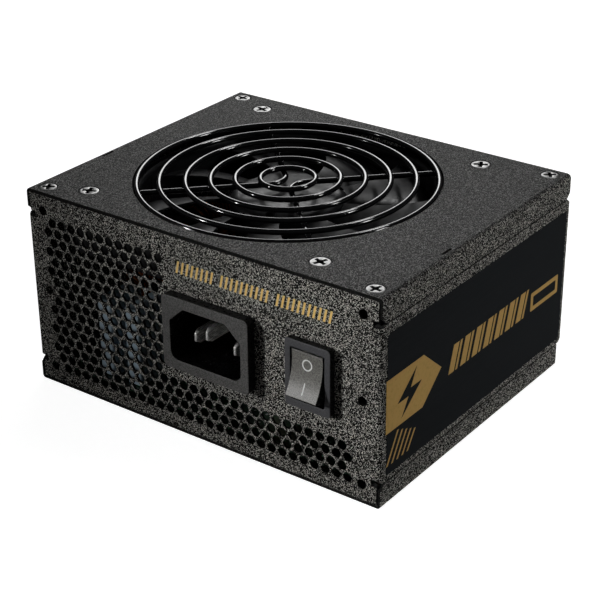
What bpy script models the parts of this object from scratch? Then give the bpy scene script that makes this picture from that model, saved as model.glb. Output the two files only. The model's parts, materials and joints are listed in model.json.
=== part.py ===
"""Compact computer power supply with a top fan, a mains inlet, a rocker switch and output sockets.

Every physical piece is its own object. Sizes below are millimetres; the meshes are written in metres.
The origin is the centre of the underside. +Z is up (fan side) and -Y is the rear (mains side).
"""
import math

import bmesh
import bpy
from mathutils import Matrix, Vector

MM = 0.001

# Case
WIDTH, DEPTH, HEIGHT = 125.0, 100.0, 63.5
SHEET = 0.8
GAP = 0.3
HALF_WIDTH = WIDTH / 2
REAR_Y = -DEPTH / 2
FRONT_Y = DEPTH / 2
COVER_UNDERSIDE = HEIGHT - SHEET
COVER_FLANGE_Z = 55.9
TRAY_FLANGE_Z = 7.3
WALL_BOTTOM_Z = TRAY_FLANGE_Z + GAP
WALL_TOP_Z = COVER_FLANGE_Z - GAP
PANEL_BOTTOM_Z = SHEET + GAP
PANEL_TOP_Z = COVER_UNDERSIDE - GAP
PANEL_HALF_WIDTH = HALF_WIDTH - SHEET - 0.4
BEND_RADIUS = 1.4
SEAM_CHAMFER = 1.8
SCREW_TAB_DEPTH = 7.0
SCREW_TAB_X = (53.6, 60.9)

# Honeycomb vent: rows of upright hexagons, counted from the top
HEX_ACROSS_FLATS = 2.75
HEX_PITCH = 3.68
HEX_ROW_STEP = 3.187
HEX_TOP_Z = 54.3
HEX_LEFT_X = -53.0
HEX_NARROW_ROWS, HEX_WIDE_ROWS = 12, 4
HEX_NARROW_COUNT, HEX_WIDE_COUNT = 12, 29

# Screws
MOUNT_HOLE_RADIUS = 1.45
MOUNT_HOLE_X = 56.5
MOUNT_HOLE_Z = (6.0, 31.75, 57.5)
CASE_SCREW_X, CASE_SCREW_Y = 57.5, 46.0
CASE_HEAD_RADIUS, CASE_SHANK_RADIUS, CASE_SCREW_LENGTH = 2.65, 1.35, 5.0
FAN_HEAD_RADIUS, FAN_SHANK_RADIUS, FAN_SCREW_LENGTH = 3.0, 1.75, 11.0
HEAD_DEPTH = 1.05

# Fan
FAN_X = -4.5
FAN_HALF = 46.0
FAN_SCREW_OFFSET = 41.25
FAN_TOP_Z, FAN_BOTTOM_Z = 60.2, 45.2
FAN_BORE_RADIUS = 43.8
COVER_HOLE_RADIUS = 45.8
HUB_RADIUS, HUB_TOP_Z, HUB_BOTTOM_Z = 17.4, 59.2, 49.2
BLADE_COUNT = 9
BLADE_TIP_RADIUS = 42.6
SEAT_RADIUS = 16.0

# Fan guard
GUARD_WIRE_RADIUS = 0.85
GUARD_RING_RADII = (8.15, 15.6, 22.9, 30.3, 38.0, 44.6)
GUARD_RING_Z = 63.05
GUARD_SPOKE_Z = 61.55
GUARD_EYE_RADIUS = 2.9
SPOKE_BEND_RADIUS, SPOKE_APEX_X = 6.0, 2.4

# Mains inlet
INLET_X, INLET_Z = 6.1, 34.5
INLET_FLANGE = (30.5, 23.0)
INLET_BODY = (27.2, 19.4)
INLET_FACE_Y, INLET_FLOOR_Y, INLET_BACK_Y = REAR_Y - 3.5, -36.5, -34.5
SOCKET_HALF, SOCKET_CHAMFER = (12.4, 8.25), (5.0, 4.5)
INLET_PIN_SPACING = 7.0
PIN_WIDTH, PIN_HEIGHT = 2.0, 4.0
PIN_TAB_Y = -29.0
EARTH_PIN_Z = INLET_Z + 1.9
LIVE_PIN_Z = INLET_Z - 2.1

# Rocker switch
SWITCH_X, SWITCH_Z = 40.4, 34.6
BEZEL = (15.0, 20.6)
SWITCH_BODY = (12.9, 18.6)
SWITCH_OPENING = (11.1, 15.8)
BEZEL_FACE_Y, SWITCH_FLOOR_Y, SWITCH_BACK_Y = REAR_Y - 2.5, -44.2, -38.0
ROCKER_WIDTH = 10.2
ROCKER_PIVOT_Y = -49.7
ROCKER_TILT = math.radians(14.5)
PIVOT_RADIUS = 1.0

# Inside
BOARD_BOTTOM_Z, BOARD_TOP_Z = 6.0, 7.6
SEATING_Z = BOARD_TOP_Z + GAP
SOCKET_PITCH = 4.2
SOCKET_BACK_Y, SOCKET_FRONT_Y = 42.5, FRONT_Y + 0.6
LEAD_RADIUS = 0.9

AXIS_FRAMES = {
    "X": Matrix(((0, 0, 1), (1, 0, 0), (0, 1, 0))).to_4x4(),
    "Y": Matrix(((1, 0, 0), (0, 0, -1), (0, 1, 0))).to_4x4(),
    "Z": Matrix.Identity(4),
}

FINISHES = {
    "black_steel": ((0.035, 0.035, 0.036), 0.55, 0.3),
    "black_wire": ((0.01, 0.01, 0.011), 0.2, 0.4),
    "bright_steel": ((0.62, 0.62, 0.6), 0.3, 1.0),
    "black_plastic": ((0.025, 0.025, 0.027), 0.5, 0.0),
    "switch_plastic": ((0.045, 0.045, 0.048), 0.4, 0.0),
    "fan_plastic": ((0.02, 0.02, 0.021), 0.4, 0.0),
    "brass": ((0.75, 0.6, 0.32), 0.3, 1.0),
    "copper": ((0.72, 0.27, 0.1), 0.35, 0.9),
    "ferrite": ((0.05, 0.05, 0.052), 0.6, 0.0),
    "aluminium": ((0.7, 0.71, 0.72), 0.35, 1.0),
    "circuit_board": ((0.02, 0.09, 0.045), 0.5, 0.0),
    "yellow_tape": ((0.72, 0.5, 0.06), 0.45, 0.0),
    "pale_blue_plastic": ((0.45, 0.55, 0.62), 0.4, 0.0),
    "capacitor_sleeve": ((0.02, 0.02, 0.03), 0.3, 0.0),
    "clear_film": ((0.12, 0.12, 0.12), 0.4, 0.0),
    "brown_wire": ((0.2, 0.08, 0.03), 0.45, 0.0),
    "blue_wire": ((0.03, 0.1, 0.4), 0.45, 0.0),
    "green_wire": ((0.05, 0.3, 0.06), 0.45, 0.0),
    "label_film": ((0.012, 0.013, 0.014), 0.45, 0.0),
}


# ------------------------------------------------------------------ scene and materials

for leftover in list(bpy.data.objects):
    bpy.data.objects.remove(leftover, do_unlink=True)

PARTS = bpy.data.collections.new("power_supply_unit")
CUTTERS = bpy.data.collections.new("power_supply_unit_cutters")
bpy.context.scene.collection.children.link(PARTS)
bpy.context.scene.collection.children.link(CUTTERS)


def make_material(name):
    color, roughness, metallic = FINISHES[name]
    material = bpy.data.materials.new(name)
    material.use_nodes = True
    shader = material.node_tree.nodes["Principled BSDF"]
    shader.inputs["Base Color"].default_value = (*color, 1.0)
    shader.inputs["Roughness"].default_value = roughness
    shader.inputs["Metallic"].default_value = metallic
    material.diffuse_color = (*color, 1.0)
    return material


MATERIALS = {name: make_material(name) for name in FINISHES}


# ------------------------------------------------------------------ building helpers

def place(name, mesh, finish=None, location=(0, 0, 0)):
    """Links a mesh as a visible part, or as a hidden cutter where it has no finish."""
    piece = bpy.data.objects.new(name, mesh)
    piece.location = [value * MM for value in location]
    if finish is None:
        piece.display_type = "WIRE"
        piece.hide_render = True
        CUTTERS.objects.link(piece)
    else:
        mesh.materials.clear()
        mesh.materials.append(MATERIALS[finish])
        PARTS.objects.link(piece)
    return piece


def finish_bmesh(name, bm, finish=None, location=(0, 0, 0)):
    bmesh.ops.scale(bm, vec=(MM, MM, MM), verts=bm.verts)
    mesh = bpy.data.meshes.new(name)
    bm.to_mesh(mesh)
    bm.free()
    return place(name, mesh, finish, location)


def add_box(bm, low, high):
    low, high = Vector(low), Vector(high)
    size = high - low
    transform = Matrix.Translation((low + high) / 2) @ Matrix.Diagonal((*size, 1.0))
    bmesh.ops.create_cube(bm, size=1.0, matrix=transform)


def boxes(name, corner_pairs, finish=None):
    """Separate boxes in one mesh, each given by its low and high corner."""
    bm = bmesh.new()
    for low, high in corner_pairs:
        add_box(bm, low, high)
    return finish_bmesh(name, bm, finish)


def rods(name, centres, radius, low, high, axis="Z", segments=20, end_radius=None):
    """Round (or polygonal) rods between two heights along an axis; centres are in the crossing plane."""
    bm = bmesh.new()
    tip_radius = radius if end_radius is None else end_radius
    for u, v in centres:
        middle = Matrix.Translation((u, v, 0.0))
        along = Matrix.Translation((0.0, 0.0, (low + high) / 2))
        if axis == "Y":
            along = Matrix.Translation((0.0, 0.0, -(low + high) / 2))
        bmesh.ops.create_cone(bm, cap_ends=True, segments=segments, radius1=radius, radius2=tip_radius,
                              depth=high - low, matrix=AXIS_FRAMES[axis] @ middle @ along)
    return finish_bmesh(name, bm)


def curve_mesh(curve_object):
    """The welded mesh of a curve object, in world space; the curve is removed."""
    CUTTERS.objects.link(curve_object)
    depsgraph = bpy.context.evaluated_depsgraph_get()
    evaluated = curve_object.evaluated_get(depsgraph)
    mesh = bpy.data.meshes.new_from_object(evaluated)
    mesh.transform(curve_object.matrix_world)
    bm = bmesh.new()
    bm.from_mesh(mesh)
    bmesh.ops.remove_doubles(bm, verts=bm.verts, dist=0.00001)
    bmesh.ops.recalc_face_normals(bm, faces=bm.faces)
    bm.to_mesh(mesh)
    bm.free()
    bpy.data.objects.remove(curve_object, do_unlink=True)
    return mesh


def outline_solid(name, points, low, high, axis="Z", finish=None, location=(0, 0, 0)):
    """A flat outline made solid between two heights along an axis."""
    curve = bpy.data.curves.new(name, "CURVE")
    curve.dimensions = "2D"
    curve.fill_mode = "BOTH"
    curve.extrude = (high - low) / 2 * MM
    spline = curve.splines.new("POLY")
    spline.points.add(len(points) - 1)
    for spline_point, (u, v) in zip(spline.points, points):
        spline_point.co = (u * MM, v * MM, 0.0, 1.0)
    spline.use_cyclic_u = True
    outline = bpy.data.objects.new(name, curve)
    sign = -1.0 if axis == "Y" else 1.0
    outline.matrix_world = AXIS_FRAMES[axis] @ Matrix.Translation((0.0, 0.0, sign * (low + high) / 2 * MM))
    return place(name, curve_mesh(outline), finish, location)


def wire_solid(name, points, radius, finish=None):
    """A round wire with closed ends along a list of points."""
    curve = bpy.data.curves.new(name, "CURVE")
    curve.dimensions = "3D"
    curve.bevel_depth = radius * MM
    curve.bevel_resolution = 1
    curve.use_fill_caps = True
    spline = curve.splines.new("POLY")
    spline.points.add(len(points) - 1)
    for spline_point, point in zip(spline.points, points):
        spline_point.co = (*[value * MM for value in point], 1.0)
    return place(name, curve_mesh(bpy.data.objects.new(name, curve)), finish)


def smooth_path(waypoints, steps=4):
    """Points of a Catmull-Rom curve through the waypoints."""
    knots = [Vector(point) for point in waypoints]
    knots = [2 * knots[0] - knots[1]] + knots + [2 * knots[-1] - knots[-2]]
    path = []
    for a, b, c, d in zip(knots, knots[1:], knots[2:], knots[3:]):
        for step in range(steps):
            t = step / steps
            path.append(0.5 * (2 * b + (c - a) * t + (2 * a - 5 * b + 4 * c - d) * t ** 2
                               + (3 * b - a - 3 * c + d) * t ** 3))
    return path + [knots[-2]]


def turned(name, profile, finish=None, centre=(0, 0, 0), segments=24, closed=False, angle=360.0):
    """A profile of (radius, height) points turned about a vertical axis with a Screw modifier."""
    bm = bmesh.new()
    verts = [bm.verts.new((radius, 0.0, height)) for radius, height in profile]
    for start, end in zip(verts, verts[1:]):
        bm.edges.new((start, end))
    if closed:
        bm.edges.new((verts[-1], verts[0]))
    piece = finish_bmesh(name, bm, finish, centre)
    screw = piece.modifiers.new("Turn", "SCREW")
    screw.angle = math.radians(angle)
    screw.steps = segments
    screw.render_steps = segments
    screw.use_merge_vertices = angle == 360.0
    screw.merge_threshold = 0.00001
    screw.use_smooth_shade = False
    return piece


def combine(target, other, operation="DIFFERENCE"):
    boolean = target.modifiers.new(f"{operation.title()} {other.name}", "BOOLEAN")
    boolean.operation = operation
    boolean.solver = "EXACT"
    boolean.object = other


def cut(target, *cutters):
    for cutter in cutters:
        combine(target, cutter)


def join(target, *others):
    for other in others:
        combine(target, other, "UNION")


def fold_sheet(piece, radius=BEND_RADIUS):
    """Rounds the folds of an open outer surface and gives it the sheet's thickness inwards."""
    bend = piece.modifiers.new("Fold", "BEVEL")
    bend.width = radius * MM
    bend.segments = 3
    bend.limit_method = "ANGLE"
    bend.angle_limit = math.radians(60)
    thickness = piece.modifiers.new("Sheet", "SOLIDIFY")
    thickness.thickness = SHEET * MM
    thickness.offset = -1.0
    thickness.use_even_offset = True


def round_edges(piece, radius, segments=2):
    bevel = piece.modifiers.new("Rounding", "BEVEL")
    bevel.width = radius * MM
    bevel.segments = segments
    bevel.limit_method = "ANGLE"
    bevel.angle_limit = math.radians(40)


def rounded_outline(corners, steps=3):
    """Outline points of a polygon whose corners are (x, y, radius)."""
    points = []
    for index, (x, y, radius) in enumerate(corners):
        here = Vector((x, y))
        if radius == 0:
            points.append(tuple(here))
            continue
        before = (Vector(corners[index - 1][:2]) - here).normalized()
        after = (Vector(corners[(index + 1) % len(corners)][:2]) - here).normalized()
        half_angle = before.angle(after) / 2
        centre = here + (before + after).normalized() * radius / math.sin(half_angle)
        start = here + before * radius / math.tan(half_angle) - centre
        end = here + after * radius / math.tan(half_angle) - centre
        sweep = math.atan2(start.x * end.y - start.y * end.x, start.dot(end))
        for step in range(steps + 1):
            points.append(tuple(centre + Matrix.Rotation(sweep * step / steps, 2) @ start))
    return points


def rectangle(width, height, radius=0.0, centre=(0.0, 0.0), steps=3):
    x, y = centre
    signs = ((-1, -1), (1, -1), (1, 1), (-1, 1))
    return rounded_outline([(x + sx * width / 2, y + sy * height / 2, radius) for sx, sy in signs], steps)


def mirrored_points(x, y):
    return [(-x, -y), (x, -y), (x, y), (-x, y)]


# ------------------------------------------------------------------ case

def open_surface(name, floor_points, folds, finish):
    """A flat outline whose listed edges are folded out: (first point index, offset vector)."""
    bm = bmesh.new()
    verts = [bm.verts.new(point) for point in floor_points]
    bm.faces.new(verts)
    for index, offset in folds:
        edge = bm.edges.get((verts[index], verts[(index + 1) % len(verts)]))
        raised = bmesh.ops.extrude_edge_only(bm, edges=[edge])["geom"]
        raised_verts = [item for item in raised if isinstance(item, bmesh.types.BMVert)]
        bmesh.ops.translate(bm, vec=offset, verts=raised_verts)
    bmesh.ops.recalc_face_normals(bm, faces=bm.faces)
    return finish_bmesh(name, bm, finish)


def face_outwards(piece, direction):
    """Flips an open surface whose first face looks away from the given direction."""
    if piece.data.polygons[0].normal.dot(Vector(direction)) < 0:
        piece.data.flip_normals()


def seam_notches(name, height, size):
    """Four corner wedges that chamfer a sheet's seam edge at the rear and front."""
    bm = bmesh.new()
    side = size * math.sqrt(2)
    for x in (-HALF_WIDTH, HALF_WIDTH):
        for y in (REAR_Y, FRONT_Y):
            transform = Matrix.Translation((x, y, height)) @ Matrix.Rotation(math.radians(45), 4, "X")
            bmesh.ops.create_cube(bm, size=1.0, matrix=transform @ Matrix.Diagonal((6.0, side, side, 1.0)))
    return finish_bmesh(name, bm)


def cone_seats(name, centres, head_radius, top_z, facing=1):
    """Countersunk clearance holes that open towards +Z (facing 1) or -Z (facing -1)."""
    narrow = head_radius - SHEET * 0.9
    reach = 0.4
    low, high = (top_z - SHEET - reach, top_z + reach)
    wide = head_radius + GAP + reach
    small = narrow + GAP - reach
    if facing > 0:
        return rods(name, centres, small, low, high, segments=12, end_radius=wide)
    return rods(name, centres, wide, -reach, SHEET + reach, segments=12, end_radius=small)


def build_top_cover():
    outline = [(-HALF_WIDTH, REAR_Y, HEIGHT), (HALF_WIDTH, REAR_Y, HEIGHT),
               (HALF_WIDTH, FRONT_Y, HEIGHT), (-HALF_WIDTH, FRONT_Y, HEIGHT)]
    drop = (0.0, 0.0, COVER_FLANGE_Z - HEIGHT)
    cover = open_surface("top_cover", outline, [(1, drop), (3, drop)], "black_steel")
    face_outwards(cover, (0, 0, 1))
    fold_sheet(cover)
    fan_screws = [(FAN_X + x, y) for x, y in mirrored_points(FAN_SCREW_OFFSET, FAN_SCREW_OFFSET)]
    case_screws = mirrored_points(CASE_SCREW_X, CASE_SCREW_Y)
    slots = [((x - 0.4, -19.0, 60.0), (x + 0.4, -14.5, 66.0)) for x in (-60.6, 60.6)]
    cut(cover,
        rods("cut_fan_hole", [(FAN_X, 0.0)], COVER_HOLE_RADIUS, 60.0, 66.0, segments=48),
        cone_seats("cut_cover_fan_screws", fan_screws, FAN_HEAD_RADIUS, HEIGHT),
        cone_seats("cut_cover_case_screws", case_screws, CASE_HEAD_RADIUS, HEIGHT),
        boxes("cut_cover_slots", slots),
        seam_notches("cut_cover_corners", COVER_FLANGE_Z, SEAM_CHAMFER))


def hexagon_centres():
    centres = []
    for row in range(HEX_NARROW_ROWS + HEX_WIDE_ROWS):
        wide = row >= HEX_NARROW_ROWS
        shifted = row % 2 == 1
        count = (HEX_WIDE_COUNT + shifted) if wide else HEX_NARROW_COUNT
        left = HEX_LEFT_X - HEX_PITCH / 2 * shifted
        z = HEX_TOP_Z - HEX_ROW_STEP * row
        centres += [(left + HEX_PITCH * column, z) for column in range(count)]
    return [(x, z) for x, z in centres if all(math.hypot(abs(x) - MOUNT_HOLE_X, z - hole_z) > 3.3
                                              for hole_z in MOUNT_HOLE_Z)]


def build_chassis():
    outline = [(-HALF_WIDTH, REAR_Y, PANEL_BOTTOM_Z), (HALF_WIDTH, REAR_Y, PANEL_BOTTOM_Z),
               (HALF_WIDTH, REAR_Y, PANEL_TOP_Z), (-HALF_WIDTH, REAR_Y, PANEL_TOP_Z)]
    back = (0.0, DEPTH, 0.0)
    chassis = open_surface("chassis", outline, [(1, back), (3, back)], "black_steel")
    face_outwards(chassis, (0, -1, 0))
    fold_sheet(chassis, 1.0)

    outside = HALF_WIDTH + 5.0
    side_bands = []
    for side in (-1, 1):
        near, far = sorted((side * PANEL_HALF_WIDTH, side * outside))
        side_bands.append(((near, REAR_Y - 5.0, WALL_TOP_Z), (far, FRONT_Y + 5.0, HEIGHT + 5.0)))
        side_bands.append(((near, REAR_Y - 5.0, -5.0), (far, FRONT_Y + 5.0, WALL_BOTTOM_Z)))
    inlet_hole = rectangle(INLET_BODY[0] + 2 * GAP, INLET_BODY[1] + 2 * GAP, 1.0, (INLET_X, INLET_Z))
    switch_hole = rectangle(SWITCH_BODY[0] + 2 * GAP, SWITCH_BODY[1] + 2 * GAP, 0.0, (SWITCH_X, SWITCH_Z))
    mount_holes = [(side * MOUNT_HOLE_X, z) for side in (-1, 1) for z in MOUNT_HOLE_Z]
    hex_radius = HEX_ACROSS_FLATS / math.sqrt(3)
    cut(chassis,
        boxes("cut_chassis_side_bands", side_bands),
        seam_notches("cut_wall_top_corners", WALL_TOP_Z, 1.0),
        seam_notches("cut_wall_bottom_corners", WALL_BOTTOM_Z, 1.0),
        outline_solid("cut_inlet_hole", inlet_hole, REAR_Y - 3.0, REAR_Y + 3.0, "Y"),
        outline_solid("cut_switch_hole", switch_hole, REAR_Y - 3.0, REAR_Y + 3.0, "Y"),
        rods("cut_mount_holes", mount_holes, MOUNT_HOLE_RADIUS, REAR_Y - 3.0, REAR_Y + 3.0, "Y", 12),
        rods("cut_honeycomb", hexagon_centres(), hex_radius, REAR_Y - 3.0, REAR_Y + 3.0, "Y", 6))

    tabs, joggles, bridges = [], [], []
    inner_low, inner_high = SCREW_TAB_X
    rear_inside = REAR_Y + SHEET / 2
    tab_end_y = REAR_Y + SCREW_TAB_DEPTH
    low_tab, high_tab = PANEL_BOTTOM_Z + 0.05, PANEL_TOP_Z - 0.05
    for side in (-1, 1):
        near, far = sorted((side * inner_low, side * inner_high))
        tabs.append(((near, rear_inside, PANEL_TOP_Z - SHEET), (far, tab_end_y, high_tab)))
        tabs.append(((near, rear_inside, low_tab), (far, tab_end_y, PANEL_BOTTOM_Z + SHEET)))
        tabs.append(((near, 40.0, low_tab), (far, 48.8, PANEL_BOTTOM_Z + SHEET)))
        inner, outer = sorted((side * (PANEL_HALF_WIDTH - SHEET), side * PANEL_HALF_WIDTH))
        joggles.append(((inner, 40.0, PANEL_BOTTOM_Z), (outer, 49.0, 14.0)))
        inner, outer = sorted((side * (PANEL_HALF_WIDTH - 0.2), side * (HALF_WIDTH - 0.2)))
        bridges.append(((inner, 40.2, 9.0), (outer, 48.6, 13.0)))
    join(chassis, boxes("add_joggles", joggles), boxes("add_joggle_bridges", bridges),
         boxes("add_screw_tabs", tabs))
    cut(chassis, rods("cut_tab_holes", mirrored_points(CASE_SCREW_X, CASE_SCREW_Y),
                      CASE_SHANK_RADIUS + GAP, -1.0, HEIGHT + 1.0, segments=12))


def build_bottom_tray():
    notch = 1.8
    relief_x, relief_y = HALF_WIDTH - notch, FRONT_Y - notch
    outline = [(-HALF_WIDTH, REAR_Y, 0), (HALF_WIDTH, REAR_Y, 0), (HALF_WIDTH, relief_y, 0),
               (relief_x, relief_y, 0), (relief_x, FRONT_Y, 0), (-relief_x, FRONT_Y, 0),
               (-relief_x, relief_y, 0), (-HALF_WIDTH, relief_y, 0)]
    flange = (0.0, 0.0, TRAY_FLANGE_Z)
    wall = (0.0, 0.0, PANEL_TOP_Z)
    tray = open_surface("bottom_tray", outline, [(1, flange), (7, flange), (4, wall)], "black_steel")
    face_outwards(tray, (0, 0, -1))
    fold_sheet(tray, 1.0)
    inner_low, inner_high = SCREW_TAB_X
    tabs = []
    for side in (-1, 1):
        near, far = sorted((side * inner_low, side * inner_high))
        tabs.append(((near, FRONT_Y - SCREW_TAB_DEPTH, PANEL_TOP_Z - SHEET),
                     (far, FRONT_Y - SHEET / 2, PANEL_TOP_Z - 0.05)))
    join(tray, boxes("add_front_tabs", tabs))
    socket_holes = []
    for columns, x, z in SOCKETS.values():
        half = socket_width(columns) / 2 + GAP
        socket_holes.append(((x - half, FRONT_Y - 3, z - SOCKET_HEIGHT / 2 - GAP),
                             (x + half, FRONT_Y + 3, z + SOCKET_HEIGHT / 2 + GAP)))
    case_screws = mirrored_points(CASE_SCREW_X, CASE_SCREW_Y)
    front_screws = [point for point in case_screws if point[1] > 0]
    cut(tray,
        cone_seats("cut_tray_screws", case_screws, CASE_HEAD_RADIUS, SHEET, -1),
        rods("cut_front_tab_holes", front_screws, CASE_SHANK_RADIUS + GAP, 50.0, HEIGHT, segments=12),
        boxes("cut_socket_holes", socket_holes),
        seam_notches("cut_tray_corners", TRAY_FLANGE_Z, SEAM_CHAMFER))


def screw_mesh(name, head_radius, shank_radius, length):
    """A countersunk screw pointing down from the origin, which is the middle of its head."""
    profile = [(0, 0), (head_radius, 0), (head_radius, -0.25), (shank_radius, -HEAD_DEPTH),
               (shank_radius, -length + 1.0), (0, -length)]
    return turned(name, profile, "bright_steel", segments=12)


def build_screws():
    groups = (
        ("cover_screw", mirrored_points(CASE_SCREW_X, CASE_SCREW_Y), HEIGHT, 1,
         (CASE_HEAD_RADIUS, CASE_SHANK_RADIUS, CASE_SCREW_LENGTH)),
        ("tray_screw", mirrored_points(CASE_SCREW_X, CASE_SCREW_Y), 0.0, -1,
         (CASE_HEAD_RADIUS, CASE_SHANK_RADIUS, CASE_SCREW_LENGTH)),
        ("fan_screw", [(FAN_X + x, y) for x, y in mirrored_points(FAN_SCREW_OFFSET, FAN_SCREW_OFFSET)],
         HEIGHT, 1, (FAN_HEAD_RADIUS, FAN_SHANK_RADIUS, FAN_SCREW_LENGTH)),
    )
    for name, centres, height, up, sizes in groups:
        for number, (x, y) in enumerate(centres, 1):
            screw = screw_mesh(f"{name}_{number}", *sizes)
            screw.location = (x * MM, y * MM, height * MM)
            if up < 0:
                screw.rotation_euler = (math.pi, 0.0, 0.0)


def build_labels():
    """Printed films on the two side walls, with rounded corners."""
    offset, thickness = 0.05, 0.12
    for name, side in (("side_label", 1), ("rating_label", -1)):
        low, high = sorted((side * (HALF_WIDTH + offset), side * (HALF_WIDTH + offset + thickness)))
        outline = rectangle(96.0, 42.8, 0.8, (0.5, 30.9), 2)
        outline_solid(name, outline, low, high, "X", "label_film")


# ------------------------------------------------------------------ fan

def build_fan_guard():
    guard = ring("fan_guard", GUARD_RING_RADII[-1], GUARD_RING_Z, "black_wire")
    parts = [ring(f"add_guard_ring_{number}", radius, GUARD_RING_Z)
             for number, radius in enumerate(GUARD_RING_RADII[:-1], 1)]
    reach = FAN_SCREW_OFFSET - GUARD_EYE_RADIUS / math.sqrt(2)
    for side in (-1, 1):
        centre_x = side * (SPOKE_APEX_X + SPOKE_BEND_RADIUS)
        bend = []
        for step in range(-4, 5):
            angle = math.radians(45) * step / 4
            bend_x = centre_x - side * SPOKE_BEND_RADIUS * math.cos(angle)
            bend.append((bend_x, SPOKE_BEND_RADIUS * math.sin(angle)))
        path = [(side * reach, -reach)] + bend + [(side * reach, reach)]
        points = [(FAN_X + x, y, GUARD_SPOKE_Z) for x, y in path]
        parts.append(wire_solid(f"add_spoke_{'left' if side < 0 else 'right'}", points, GUARD_WIRE_RADIUS))
    for number, (x, y) in enumerate(mirrored_points(FAN_SCREW_OFFSET, FAN_SCREW_OFFSET), 1):
        parts.append(ring(f"add_eye_{number}", GUARD_EYE_RADIUS, GUARD_SPOKE_Z, centre=(FAN_X + x, y)))
    join(guard, *parts)


def ring(name, radius, height, finish=None, centre=(FAN_X, 0.0)):
    """A closed wire ring; larger rings get more steps."""
    sides = 5
    profile = [(radius + GUARD_WIRE_RADIUS * math.cos(math.tau * step / sides + 0.3),
                -GUARD_WIRE_RADIUS * math.sin(math.tau * step / sides + 0.3)) for step in range(sides)]
    return turned(name, profile, finish, (*centre, height), 10 + 3 * round(radius / 5), closed=True)


def build_fan_frame():
    outline = rectangle(2 * FAN_HALF, 2 * FAN_HALF, 4.0, (FAN_X, 0.0))
    frame = outline_solid("fan_frame", outline, FAN_BOTTOM_Z, FAN_TOP_Z, "Z", "fan_plastic")
    corners = [(FAN_X + x, y) for x, y in mirrored_points(FAN_SCREW_OFFSET, FAN_SCREW_OFFSET)]
    below, above = FAN_BOTTOM_Z - 1, FAN_TOP_Z + 1
    cut(frame,
        rods("cut_fan_bore", [(FAN_X, 0.0)], FAN_BORE_RADIUS, below, above, segments=40),
        rods("cut_fan_corner_holes", corners, FAN_SHANK_RADIUS + GAP, below, above, segments=12))
    seat_top, tube_top = FAN_BOTTOM_Z + 1.2, FAN_BOTTOM_Z + 10.3
    seat_profile = [(0.0, seat_top), (3.5, seat_top), (3.5, tube_top), (4.4, tube_top), (4.4, seat_top),
                    (SEAT_RADIUS, seat_top), (SEAT_RADIUS, FAN_BOTTOM_Z), (0.0, FAN_BOTTOM_Z)]
    seat = turned("add_fan_seat", seat_profile, None, (FAN_X, 0.0, 0.0), 20)
    bm = bmesh.new()
    inner, outer = SEAT_RADIUS - 2.0, FAN_BORE_RADIUS + 1.0
    for number in range(4):
        turn = Matrix.Rotation(math.radians(20 + 90 * number), 4, "Z")
        centre = Matrix.Translation(((inner + outer) / 2, 0.0, FAN_BOTTOM_Z + 1.25))
        size = Matrix.Diagonal((outer - inner, 3.0, 2.3, 1.0))
        spin_axis = Matrix.Translation((FAN_X, 0.0, 0.0))
        bmesh.ops.create_cube(bm, size=1.0, matrix=spin_axis @ turn @ centre @ size)
    struts = finish_bmesh("add_fan_struts", bm)
    join(frame, struts, seat)


def blade_point(u, v, number):
    """A point of a blade: u runs from root to tip, v from the trailing to the leading edge."""
    radius = HUB_RADIUS - 0.6 + u * (BLADE_TIP_RADIUS - HUB_RADIUS + 0.6)
    span = math.radians(37 - 3 * u)
    sweep = math.radians(16) * u ** 1.5
    angle = math.tau * number / BLADE_COUNT + sweep + (v - 0.5) * span
    rise = 7.0 - 0.6 * u
    camber = 0.9 * math.sin(math.pi * v)
    height = (HUB_TOP_Z + HUB_BOTTOM_Z) / 2 - 0.2 + (v - 0.5) * rise + camber - 0.45
    return radius * math.cos(angle), radius * math.sin(angle), height


def build_fan_rotor():
    """The hub and its blades; the object's origin is on the spin axis."""
    wall, top = 1.2, 1.3
    boss_radius, boss_bore = 3.3, 1.8
    middle = (HUB_TOP_Z + HUB_BOTTOM_Z) / 2
    outer = [(0, HUB_TOP_Z), (HUB_RADIUS - 2.4, HUB_TOP_Z), (HUB_RADIUS - 0.8, HUB_TOP_Z - 0.6),
             (HUB_RADIUS, HUB_TOP_Z - 2.2), (HUB_RADIUS, HUB_BOTTOM_Z), (HUB_RADIUS - wall, HUB_BOTTOM_Z),
             (HUB_RADIUS - wall, HUB_TOP_Z - 2.4), (HUB_RADIUS - 2.6, HUB_TOP_Z - top),
             (boss_radius, HUB_TOP_Z - top), (boss_radius, HUB_TOP_Z - 3.2), (boss_bore, HUB_TOP_Z - 3.2),
             (boss_bore, HUB_TOP_Z - 1.6), (0, HUB_TOP_Z - 1.6)]
    profile = [(radius, height - middle) for radius, height in outer]
    rotor = turned("fan_rotor", profile, "fan_plastic", (FAN_X, 0.0, middle), 30)
    bm = bmesh.new()
    for number in range(BLADE_COUNT):
        grid = bmesh.ops.create_grid(bm, x_segments=3, y_segments=3, size=0.5)["verts"]
        for vert in grid:
            vert.co = blade_point(vert.co.x + 0.5, vert.co.y + 0.5, number)
    bmesh.ops.translate(bm, vec=(0.0, 0.0, -middle), verts=bm.verts)
    blades = finish_bmesh("add_fan_blades", bm, None, (FAN_X, 0.0, middle))
    thickness = blades.modifiers.new("Blade", "SOLIDIFY")
    thickness.thickness = 1.1 * MM
    thickness.offset = 0.0
    join(rotor, blades)


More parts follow.
